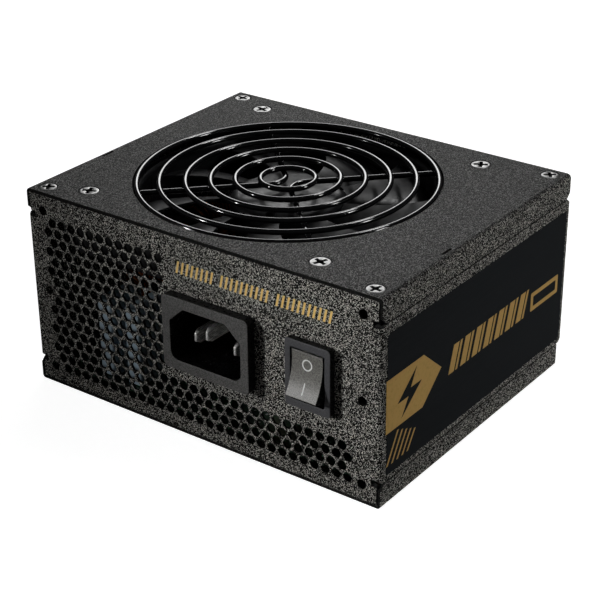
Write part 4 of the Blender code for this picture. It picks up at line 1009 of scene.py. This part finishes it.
def build_labels():
    film_in, film_out, print_out = 0.05, 0.14, 0.17
    for node, side in (("side_label", 1), ("rating_label", -1)):
        faces = sorted((side * (HALF_WIDTH + film_in), side * (HALF_WIDTH + film_out)))
        film = prisms(f"{node}_film", [rectangle(96.0, 42.8, 0.8, (0.5, 30.9))], *faces, "X", "label_film",
                            [node])
        smooth(film)

    ink_low, ink_high = HALF_WIDTH + film_out - 0.02, HALF_WIDTH + print_out
    badge = [(-48.0, 22.5), (-30.0, 22.5), (-20.8, 30.8), (-30.0, 38.7), (-48.0, 38.7)]
    bars = [slanted_bar(-47.6 + 2.5 * number, 12.2, 0.8, 9.2 - 0.9 * number, 5.2 - 0.4 * number)
            for number in range(5)]
    strokes = []
    for number in range(7):
        strokes.append(slanted_bar(-17.0 + 6.2 * number, 26.4, 2.9, 8.4, 2.6))
        strokes.append(slanted_bar(-13.4 + 6.2 * number, 26.4, 1.1, 8.4, 2.6))
    plate = rectangle(16.5, 6.0, 0.5, (37.2, 29.6))
    smooth(prisms("side_label_gold_print", [badge, plate, *bars, *strokes], ink_low, ink_high, "X",
                        "gold_ink"))
    bolt = [(-33.4, 37.0), (-42.6, 29.4), (-37.2, 29.4), (-40.6, 24.0), (-30.8, 31.6), (-36.2, 31.6)]
    window = rectangle(13.6, 3.2, 0.3, (37.2, 29.6))
    smooth(prisms("side_label_dark_print", [bolt, window], ink_high - 0.02, ink_high + 0.015, "X",
                        "label_film"))

    ink_low, ink_high = -HALF_WIDTH - print_out, -HALF_WIDTH - film_out + 0.02
    rows = [rectangle(84.0, 0.4, 0.0, (0.5, 48.0 - 5.6 * row)) for row in range(6)]
    columns = [rectangle(0.4, 28.4, 0.0, (u, 34.0)) for u in (-41.3, -24.0, -6.0, 12.0, 30.0, 42.3)]
    entries = [rectangle(7.0 + 2.0 * (column % 3), 1.4, 0.3, (-32.6 + 18.0 * column, 45.2 - 5.6 * row))
               for row in range(5) for column in range(5) if (row + column) % 4 != 3]
    blocks = [rectangle(9.0, 4.4, 0.6, (-36.0 + 14.0 * number, 14.5)) for number in range(6)]
    smooth(prisms("rating_label_gold_print", rows + columns + entries + blocks, ink_low, ink_high, "X",
                        "gold_ink"))


def build_rear_print():
    """Three groups of thin slanted bars above the inlet."""
    pitch, bars = 1.72, []
    for start, count in ((-6.3, 8), (9.2, 10), (28.3, 11)):
        bars += [slanted_bar(start + pitch * number, 51.6, 0.75, 3.8, 0.8) for number in range(count)]
    smooth(prisms("rear_panel_gold_print", bars, REAR_Y - 0.03, REAR_Y + 0.02, "Y", "bright_gold_ink"))


# ------------------------------------------------------------------ fan

def build_fan_guard():
    """Wire rings welded on two bent spokes, with eyes round the fan screws."""
    bm = bmesh.new()
    for radius in GUARD_RING_RADII:
        ring = circle_path(radius, (FAN_X, 0.0), GUARD_RING_Z, 40 + 2 * round(radius))
        add_tube(bm, ring, GUARD_WIRE_RADIUS, 14, True)
    for centre in fan_screw_places():
        add_tube(bm, circle_path(GUARD_EYE_RADIUS, centre, GUARD_SPOKE_Z, 32), GUARD_WIRE_RADIUS, 12, True)
    reach = FAN_SCREW_OFFSET - GUARD_EYE_RADIUS / math.sqrt(2)
    for side in (-1, 1):
        centre_x = side * (SPOKE_APEX_X + SPOKE_BEND_RADIUS)
        bend = []
        for step in range(-10, 11):
            angle = math.radians(45) * step / 10
            bend.append((centre_x - side * SPOKE_BEND_RADIUS * math.cos(angle),
                         SPOKE_BEND_RADIUS * math.sin(angle)))
        path = [(side * reach, -reach), *bend, (side * reach, reach)]
        add_tube(bm, [(FAN_X + x, y, GUARD_SPOKE_Z) for x, y in path], GUARD_WIRE_RADIUS, 14)
    weld_z = (GUARD_RING_Z + GUARD_SPOKE_Z) / 2
    leg_shift = (SPOKE_APEX_X + SPOKE_BEND_RADIUS) - SPOKE_BEND_RADIUS * math.sqrt(2)
    for radius in GUARD_RING_RADII[1:]:
        for x_sign in (-1, 1):
            for y_sign in (-1, 1):
                along = (-leg_shift + math.sqrt(2 * radius ** 2 - leg_shift ** 2)) / 2
                centre = Vector((FAN_X + x_sign * (along + leg_shift), y_sign * along, weld_z))
                nugget = Matrix.Translation(centre) @ Matrix.Diagonal((1.15, 1.15, 0.62, 1.0))
                bmesh.ops.create_uvsphere(bm, u_segments=12, v_segments=8, radius=1.0, matrix=nugget)
    smooth(finish_bmesh("fan_guard_wires", bm, "black_wire", stands_for=["fan_guard"]), angle=60.0)


def build_fan_frame():
    """The square fan housing with a flared bore, corner bosses, struts and the motor seat."""
    outline = rectangle(2 * FAN_HALF, 2 * FAN_HALF, 4.0, (FAN_X, 0.0), 8)
    frame_piece = prisms("fan_frame_moulding", [outline], FAN_LOW.z, FAN_HIGH.z, "Z", "fan_plastic",
                               ["fan_frame"])
    flare, below, above = 1.6, FAN_LOW.z - 1.0, FAN_HIGH.z + 1.0
    bore = [(0.0, below), (FAN_BORE_RADIUS, below), (FAN_BORE_RADIUS, FAN_HIGH.z - flare)]
    for step in range(1, 7):
        angle = math.pi / 2 * step / 6
        bore.append((FAN_BORE_RADIUS + 0.9 * (1 - math.cos(angle)),
                     FAN_HIGH.z - flare + flare * math.sin(angle)))
    bore += [(bore[-1][0], above), (0.0, above)]
    bore_cutter = turned("bore_cutter", bore, 120, (FAN_X, 0.0))
    holes = [circle(FAN_SHANK_RADIUS + GAP, centre) for centre in fan_screw_places()]
    combine(frame_piece, "DIFFERENCE", bore_cutter, prisms("corner_hole_cutter", holes, below, above))

    seat_top, tube_top = FAN_LOW.z + 1.2, FAN_LOW.z + 10.3
    seat = [(0.0, seat_top), (3.5, seat_top), (3.5, tube_top), (4.4, tube_top), (4.4, seat_top),
            (SEAT_RADIUS - 0.5, seat_top), (SEAT_RADIUS, seat_top - 0.5), (SEAT_RADIUS, FAN_LOW.z),
            (0.0, FAN_LOW.z)]
    bm = bmesh.new()
    add_turned(bm, seat, 64, (FAN_X, 0.0))
    inner, outer = SEAT_RADIUS - 2.0, FAN_BORE_RADIUS + 1.0
    section = rounded_outline([(-1.5, 0.1, 0.4), (1.5, 0.1, 0.4), (1.1, 2.4, 0.5), (-1.1, 2.4, 0.5)], 3)
    for number in range(4):
        turn = Matrix.Rotation(math.radians(20 + 90 * number), 4, "Z")
        ends = []
        for radius in (inner, outer):
            ends.append([bm.verts.new(Vector((FAN_X, 0.0, FAN_LOW.z)) + turn @ Vector((radius, u, v)))
                         for u, v in section])
        bm.faces.new(ends[0])
        bm.faces.new(ends[1])
        bridge(bm, *ends)
    inside = finish_bmesh("fan_frame_inside", bm)
    combine(frame_piece, "UNION", inside)
    smooth(frame_piece, 0.15)


def blade_middle(u, v, number):
    """A blade's middle surface: u runs from root to tip, v from the trailing to the leading edge."""
    radius = HUB_RADIUS - 0.6 + u * (BLADE_TIP_RADIUS - HUB_RADIUS + 0.6)
    span = math.radians(37 - 3 * u)
    sweep = math.radians(16) * u ** 1.5
    angle = math.tau * number / BLADE_COUNT + sweep + (v - 0.5) * span
    rise = 7.0 - 0.6 * u
    camber = 0.9 * math.sin(math.pi * v)
    height = (HUB_TOP_Z + HUB_BOTTOM_Z) / 2 - 0.2 + (v - 0.5) * rise + camber - 0.45
    return Vector((radius * math.cos(angle), radius * math.sin(angle), height))


def add_blade(bm, number, spans=14, chords=12):
    """An airfoil blade as closed sections from root to tip."""
    sections = []
    for row in range(spans + 1):
        u = row / spans
        upper, lower = [], []
        for column in range(chords + 1):
            v = column / chords
            body = math.sin(math.pi * (0.06 + 0.9 * v)) ** 0.5
            half = BLADE_THICKNESS / 2 * (0.35 + 0.65 * body) * (1.0 if u < 0.97 else 0.55)
            middle = blade_middle(u, v, number)
            upper.append(middle + Vector((0.0, 0.0, half)))
            lower.append(middle - Vector((0.0, 0.0, half)))
        sections.append([bm.verts.new(point) for point in upper + lower[::-1]])
    for section, following in zip(sections, sections[1:]):
        bridge(bm, section, following)
    bm.faces.new(sections[0])
    bm.faces.new(sections[-1])


def build_fan_rotor():
    """A domed hub with balance pockets, and its airfoil blades."""
    wall, top, middle = 1.2, 1.3, (HUB_TOP_Z + HUB_BOTTOM_Z) / 2
    outer = [(0.0, HUB_TOP_Z)]
    for step in range(11):
        share = step / 10
        outer.append((4.0 + (HUB_RADIUS - 7.6) * share, HUB_TOP_Z - 0.35 * share ** 2))
    for step in range(1, 9):
        angle = math.pi / 2 * step / 8
        outer.append((HUB_RADIUS - 3.6 + 3.6 * math.sin(angle), HUB_TOP_Z - 2.55 + 2.2 * math.cos(angle)))
    outer += [(HUB_RADIUS, HUB_BOTTOM_Z + 0.3), (HUB_RADIUS - 0.3, HUB_BOTTOM_Z),
              (HUB_RADIUS - wall, HUB_BOTTOM_Z), (HUB_RADIUS - wall, HUB_TOP_Z - 3.4),
              (HUB_RADIUS - 3.4, HUB_TOP_Z - top - 0.6), (3.3, HUB_TOP_Z - top - 0.3), (3.3, HUB_TOP_Z - 3.2),
              (1.8, HUB_TOP_Z - 3.2), (1.8, HUB_TOP_Z - 1.6), (0.0, HUB_TOP_Z - 1.6)]
    rotor = turned("fan_rotor_moulding", [(radius, height - middle) for radius, height in outer], 96,
                   look="fan_plastic", stands_for=["fan_rotor"], body="fan_rotor")
    pockets = []
    for number in range(3):
        angle = math.radians(-72 + 120 * number)
        centre = ((HUB_RADIUS - 1.2) * math.cos(angle), (HUB_RADIUS - 1.2) * math.sin(angle))
        pockets.append(circle(1.5, centre))
    hub_top = HUB_TOP_Z - middle
    combine(rotor, "DIFFERENCE", prisms("notch_cutter", pockets, hub_top - 2.0, hub_top + 1.0))
    smooth(rotor, 0.08, 35.0)
    settle(rotor)
    bm = bmesh.new()
    bm.from_mesh(rotor.data)
    bmesh.ops.scale(bm, vec=(1 / MM, 1 / MM, 1 / MM), verts=bm.verts)
    blade_bm = bmesh.new()
    for number in range(BLADE_COUNT):
        add_blade(blade_bm, number)
    bmesh.ops.translate(blade_bm, vec=(0.0, 0.0, -middle), verts=blade_bm.verts)
    bmesh.ops.recalc_face_normals(blade_bm, faces=blade_bm.faces)
    blades = bpy.data.meshes.new("blades")
    blade_bm.to_mesh(blades)
    blade_bm.free()
    bm.from_mesh(blades)
    bmesh.ops.scale(bm, vec=(MM, MM, MM), verts=bm.verts)
    bm.to_mesh(rotor.data)
    bm.free()
    rotor.data.transform(Matrix.Translation(Vector((FAN_X, 0.0, middle)) * MM))
    rotor.data.shade_smooth()
    rotor.data.set_sharp_from_angle(angle=math.radians(50))


# ------------------------------------------------------------------ mains inlet and switch

def polish_and_shade_behind(housing, face_y):
    """Leaves the grain on a housing's outer face only; its walls and its inside are polished, and their
    near-black tone is painted shade.
    """
    repaint(housing, "shaded_polished_black", lambda normal, middle: normal.y > -0.35 or middle.y > face_y + 0.5)


def build_inlet():
    flange = rectangle(*INLET_FLANGE, 1.6, (INLET_X, INLET_Z), 8)
    body = rectangle(*INLET_BODY, 0.8, (INLET_X, INLET_Z), 4)
    left, right = INLET_X - SOCKET_HALF[0], INLET_X + SOCKET_HALF[0]
    bottom, top = INLET_Z - SOCKET_HALF[1], INLET_Z + SOCKET_HALF[1]
    cut_x, cut_z = SOCKET_CHAMFER
    socket = rounded_outline([
        (left, bottom, 2.5), (right, bottom, 2.5), (right, top - cut_z, 0.8),
        (right - cut_x, top, 0.8), (left + cut_x, top, 0.8), (left, top - cut_z, 0.8)], 8)
    housing = prisms("inlet_moulding", [flange], INLET_FACE_Y, REAR_Y - GAP, "Y", "black_plastic",
                           ["inlet_housing"])
    combine(housing, "UNION", prisms("inlet_body", [body], REAR_Y - 1.0, INLET_BACK_Y, "Y"))
    pin_slots = []
    for node in INLET_PINS:
        low, high = box_mm(node)
        pin_slots.append(((low.x - GAP, INLET_FLOOR_Y - 2, low.z - GAP),
                          (high.x + GAP, INLET_BACK_Y + 2, high.z + GAP)))
    combine(housing, "DIFFERENCE", prisms("socket_cutter", [socket], INLET_FACE_Y - 1, INLET_FLOOR_Y, "Y"),
            boxes("pin_slot_cutter", pin_slots))
    smooth(housing, 0.28, 50.0, 3)
    polish_and_shade_behind(housing, INLET_FACE_Y)
    for node in INLET_PINS:
        build_pin(node)


def build_pin(node):
    """A flat contact blade with a chamfered tip and a drilled tab."""
    low, high = box_mm(node)
    middle = (low + high) / 2
    bm = bmesh.new()
    tip, tip_narrowing = low.y + 1.6, 0.4
    outline = [(low.y, middle.z - 1.3), (low.y, middle.z + 1.3), (tip, high.z), (high.y, high.z),
               (high.y, low.z), (tip, low.z)]
    add_prism(bm, outline, low.x, high.x, "X")
    for vert in bm.verts:
        if vert.co.y < low.y + 0.01:
            vert.co.x = middle.x + (vert.co.x - middle.x) * tip_narrowing
    pin = finish_bmesh(f"{node}_blade", bm, "nickel", stands_for=[node])
    hole = circle(0.7, (high.y - 1.8, middle.z), 20)
    combine(pin, "DIFFERENCE", prisms("tab_cutter", [hole], low.x - 1, high.x + 1, "X"))
    smooth(pin, 0.3, segments=3)


def build_switch():
    centre = (SWITCH_X, SWITCH_Z)
    housing = prisms("switch_moulding", [rectangle(*BEZEL, 1.2, centre, 6)], BEZEL_FACE_Y, REAR_Y - GAP,
                           "Y", "switch_plastic", ["switch_housing"])
    combine(housing, "UNION", prisms("switch_body", [rectangle(*SWITCH_BODY, 0.6, centre)], REAR_Y - 1.0,
                                     SWITCH_BACK_Y, "Y"))
    sockets = prisms("pivot_cutter", [circle(PIVOT_RADIUS + GAP, (ROCKER_PIVOT_Y, SWITCH_Z))],
                     SWITCH_X - ROCKER_WIDTH / 2 - 1.0, SWITCH_X + ROCKER_WIDTH / 2 + 1.0, "X")
    combine(housing, "DIFFERENCE", prisms("opening_cutter", [rectangle(*SWITCH_OPENING, 0.5, centre)],
                                          BEZEL_FACE_Y - 1, SWITCH_FLOOR_Y, "Y"), sockets)
    smooth(housing, 0.3, 50.0, 3)
    polish_and_shade_behind(housing, BEZEL_FACE_Y)
    build_rocker()


def rocker_turn():
    """Places the rocker's side view, (u inwards, v up), at its pivot with its resting tilt."""
    pivot = Matrix.Translation(Vector((SWITCH_X, ROCKER_PIVOT_Y, SWITCH_Z)) * MM)
    return pivot @ Matrix.Rotation(-ROCKER_TILT, 4, "X")


def rocker_face(height):
    """How deep the rocker's hollow face lies at a height, in its side view."""
    return ROCKER_FACE_DEPTH - ROCKER_FACE_RADIUS + math.sqrt(ROCKER_FACE_RADIUS ** 2 - height ** 2)


def build_rocker():
    """The rocker with its hollowed face, and the ring and bar marks that follow the hollow."""
    half_height, steps = 6.55, 16
    face = [half_height * (2 * step / steps - 1) for step in range(steps + 1)]
    heel, waist, foot = (-2.3, 6.95), (1.6, 6.0), (3.9, 2.3)
    outline = [(rocker_face(height), height) for height in face]
    outline += [heel, waist, foot, (foot[0], -foot[1]), (waist[0], -waist[1]), (heel[0], -heel[1])]
    half_width = ROCKER_WIDTH / 2
    rocker = prisms("switch_rocker_moulding", [outline], -half_width, half_width, "X", "rocker_plastic",
                          ["switch_rocker"], "switch_rocker")
    stub_end = half_width + 0.7
    combine(rocker, "UNION", prisms("pivot_stubs", [circle(PIVOT_RADIUS)], -stub_end, stub_end, "X"))
    smooth(rocker, 0.2, 40.0, 3)
    # The rocker's sides and back take the near-black plastic, painted shade.
    repaint(rocker, "shaded_polished_black", lambda normal, middle: abs(normal.x) > 0.6 or middle.y > -2.0)
    rocker.data.transform(rocker_turn())

    ring_height, bar_height, ring_radius, bar_length, stroke = 3.0, -3.7, 1.45, 3.3, 0.4
    marks = bmesh.new()
    add_turned(marks, [(ring_radius - stroke / 2, -0.03), (ring_radius + stroke / 2, -0.03),
                       (ring_radius + stroke / 2, 0.03), (ring_radius - stroke / 2, 0.03)], 48)
    place_mark("rocker_ring_mark", marks, ring_height)
    marks = bmesh.new()
    add_prism(marks, rectangle(stroke, bar_length, 0.1), -0.03, 0.03)
    bmesh.ops.subdivide_edges(marks, edges=[edge for edge in marks.edges if edge.calc_length() > 2.0], cuts=8)
    place_mark("rocker_bar_mark", marks, bar_height)


def place_mark(name, marks, height):
    """Lays a flat mark, drawn in x and y, on the rocker's hollow face."""
    for vert in marks.verts:
        across, along, lift = vert.co
        vert.co = (across, rocker_face(height + along) - lift, height + along)
    mark = finish_bmesh(name, marks, "white_ink", body="switch_rocker")
    mark.data.transform(rocker_turn())
    smooth(mark)


# ------------------------------------------------------------------ electronics

def socket_width(columns):
    return SOCKET_PITCH * columns + 1.8


def build_sockets():
    """Output sockets: keyed cells with a contact in each."""
    for node, (columns, x, z) in SOCKETS.items():
        half = socket_width(columns) / 2
        body = [rectangle(2 * half, SOCKET_HEIGHT, 0.5, (x, z), 3)]
        socket = prisms(f"{node}_moulding", body, SOCKET_BACK_Y, SOCKET_FRONT_Y, "Y", "socket_plastic",
                              [node])
        cells, contacts = [], bmesh.new()
        for column in range(columns):
            cell_x = x + (column - (columns - 1) / 2) * SOCKET_PITCH
            for row in (-0.5, 0.5):
                cell_z = z + row * SOCKET_PITCH
                keyed = (column + (row > 0)) % 2
                key = 0.9 if keyed else 0.15
                corners = [(cell_x - 1.6, cell_z - 1.6, key), (cell_x + 1.6, cell_z - 1.6, key),
                           (cell_x + 1.6, cell_z + 1.6, 0.15), (cell_x - 1.6, cell_z + 1.6, 0.15)]
                cells.append(rounded_outline(corners, 3))
                add_prism(contacts, rectangle(1.1, 1.1, 0.2, (cell_x, cell_z), 2), SOCKET_FRONT_Y - 1.6,
                          SOCKET_BACK_Y + 1.5, "Y", 1.0)
        cell_cutter = prisms("cell_cutter", cells, SOCKET_BACK_Y + 2.0, SOCKET_FRONT_Y + 1.0, "Y")
        combine(socket, "DIFFERENCE", cell_cutter)
        smooth(socket, 0.12, 50.0)
        smooth(finish_bmesh(f"{node}_contacts", contacts, "brass"), 0.1, 50.0)


def wound_toroid(node, axis, wire_radius, turns):
    """Helical turns of wire round a toroid core, in the space of the node's wound sleeve."""
    core_low, core_high = box_mm(f"{node}_core")
    centre = (core_low + core_high) / 2
    size = core_high - core_low
    turn = {"X": Matrix.Rotation(math.pi / 2, 4, "Y"), "Y": Matrix.Rotation(math.pi / 2, 4, "X")}[axis]
    across, along = {"X": (size.y, size.x), "Y": (size.x, size.y)}[axis]
    core_radius = along / math.sqrt(3)
    ring_radius = across / 2 - core_radius
    wound_share = {"X": 16 / 18, "Y": 15 / 18}[axis]
    helix_radius = core_radius + GAP + wire_radius
    path = []
    steps_per_turn = 12
    for step in range(turns * steps_per_turn + 1):
        around = math.tau * wound_share * step / (turns * steps_per_turn)
        phase = math.tau * step / steps_per_turn
        reach = ring_radius + helix_radius * math.cos(phase)
        path.append(Vector((reach * math.cos(around), reach * math.sin(around),
                            helix_radius * math.sin(phase))))
    bm = bmesh.new()
    add_tube(bm, [centre + (turn @ point) for point in path], wire_radius, 7)
    smooth(finish_bmesh(f"{node}_turns", bm, "copper", stands_for=[f"{node}_winding"]), angle=60.0)


def build_film_capacitors():
    for node in ("film_capacitor_1", "film_capacitor_2"):
        low, high = box_mm(node)
        middle = (low + high) / 2
        width, depth = high.x - low.x, high.y - low.y
        block = prisms(f"{node}_case", [rectangle(width, depth, 0.9, (middle.x, middle.y))], low.z, high.z,
                             "Z", "pale_blue_plastic", [node])
        smooth(block, 0.5, 50.0, 4)


def build_upright_capacitor(node):
    """A sleeved can with a rolled groove, a bare top with a scored cross, and a sleeve lip."""
    low, high = box_mm(node)
    centre = (low + high) / 2
    radius = (high.x - low.x) / 2
    top, bottom = high.z, low.z
    profile = [(0.0, top - 0.5), (radius - 1.3, top - 0.5), (radius - 1.1, top), (radius - 0.5, top - 0.1),
               (radius - 0.05, top - 0.6), (radius, top - 1.2), (radius, bottom + 5.2),
               (radius - 0.35, bottom + 4.8), (radius - 0.7, bottom + 4.2), (radius - 0.35, bottom + 3.6),
               (radius, bottom + 3.2), (radius, bottom + 0.4), (radius - 0.4, bottom), (0.0, bottom)]
    can = turned(f"{node}_can", profile, 48, (centre.x, centre.y), "capacitor_sleeve", stands_for=[node])
    can.data.materials.append(LOOKS["aluminium"][0])
    for polygon in can.data.polygons:
        middle = polygon.center / MM
        from_axis = math.hypot(middle.x - centre.x, middle.y - centre.y)
        if middle.z > top - 0.6 and from_axis < radius - 1.2:
            polygon.material_index = 1
    cut(can, "aluminium", scored_cross(centre, radius, top))
    smooth(can, angle=45.0)


def scored_cross(centre, radius, top):
    score = prisms("score_cutter", [plus_outline(radius * 0.6, 0.5)], top - 0.75, top + 0.5)
    score.data.transform(Matrix.Translation(Vector((centre.x, centre.y, 0.0)) * MM))
    return score


def dress_remaining_nodes():
    """Gives every CAD node that still shows the look of its own slot."""
    slots = {part["node"]: part["material_slot"] for part in frame["record"]["subparts"]}
    for node, piece in frame["nodes"].items():
        if piece.hide_render:
            continue
        material, slot = LOOKS[slots[node]]
        piece.data.materials.clear()
        piece.data.materials.append(material)
        piece.data.shade_smooth()
        piece.data.set_sharp_from_angle(angle=math.radians(35))


make_camera()
make_studio()
make_floor()
LOOKS = make_looks()
build_top_cover()
build_chassis()
build_bottom_tray()
build_screws()
build_labels()
build_rear_print()
build_fan_guard()
build_fan_frame()
build_fan_rotor()
build_inlet()
build_switch()
build_sockets()
wound_toroid("filter_choke", "Y", 0.5, 34)
wound_toroid("boost_choke", "X", 0.5, 40)
build_film_capacitors()
for capacitor in ("bulk_capacitor", "output_capacitor_1", "output_capacitor_2"):
    build_upright_capacitor(capacitor)
dress_remaining_nodes()
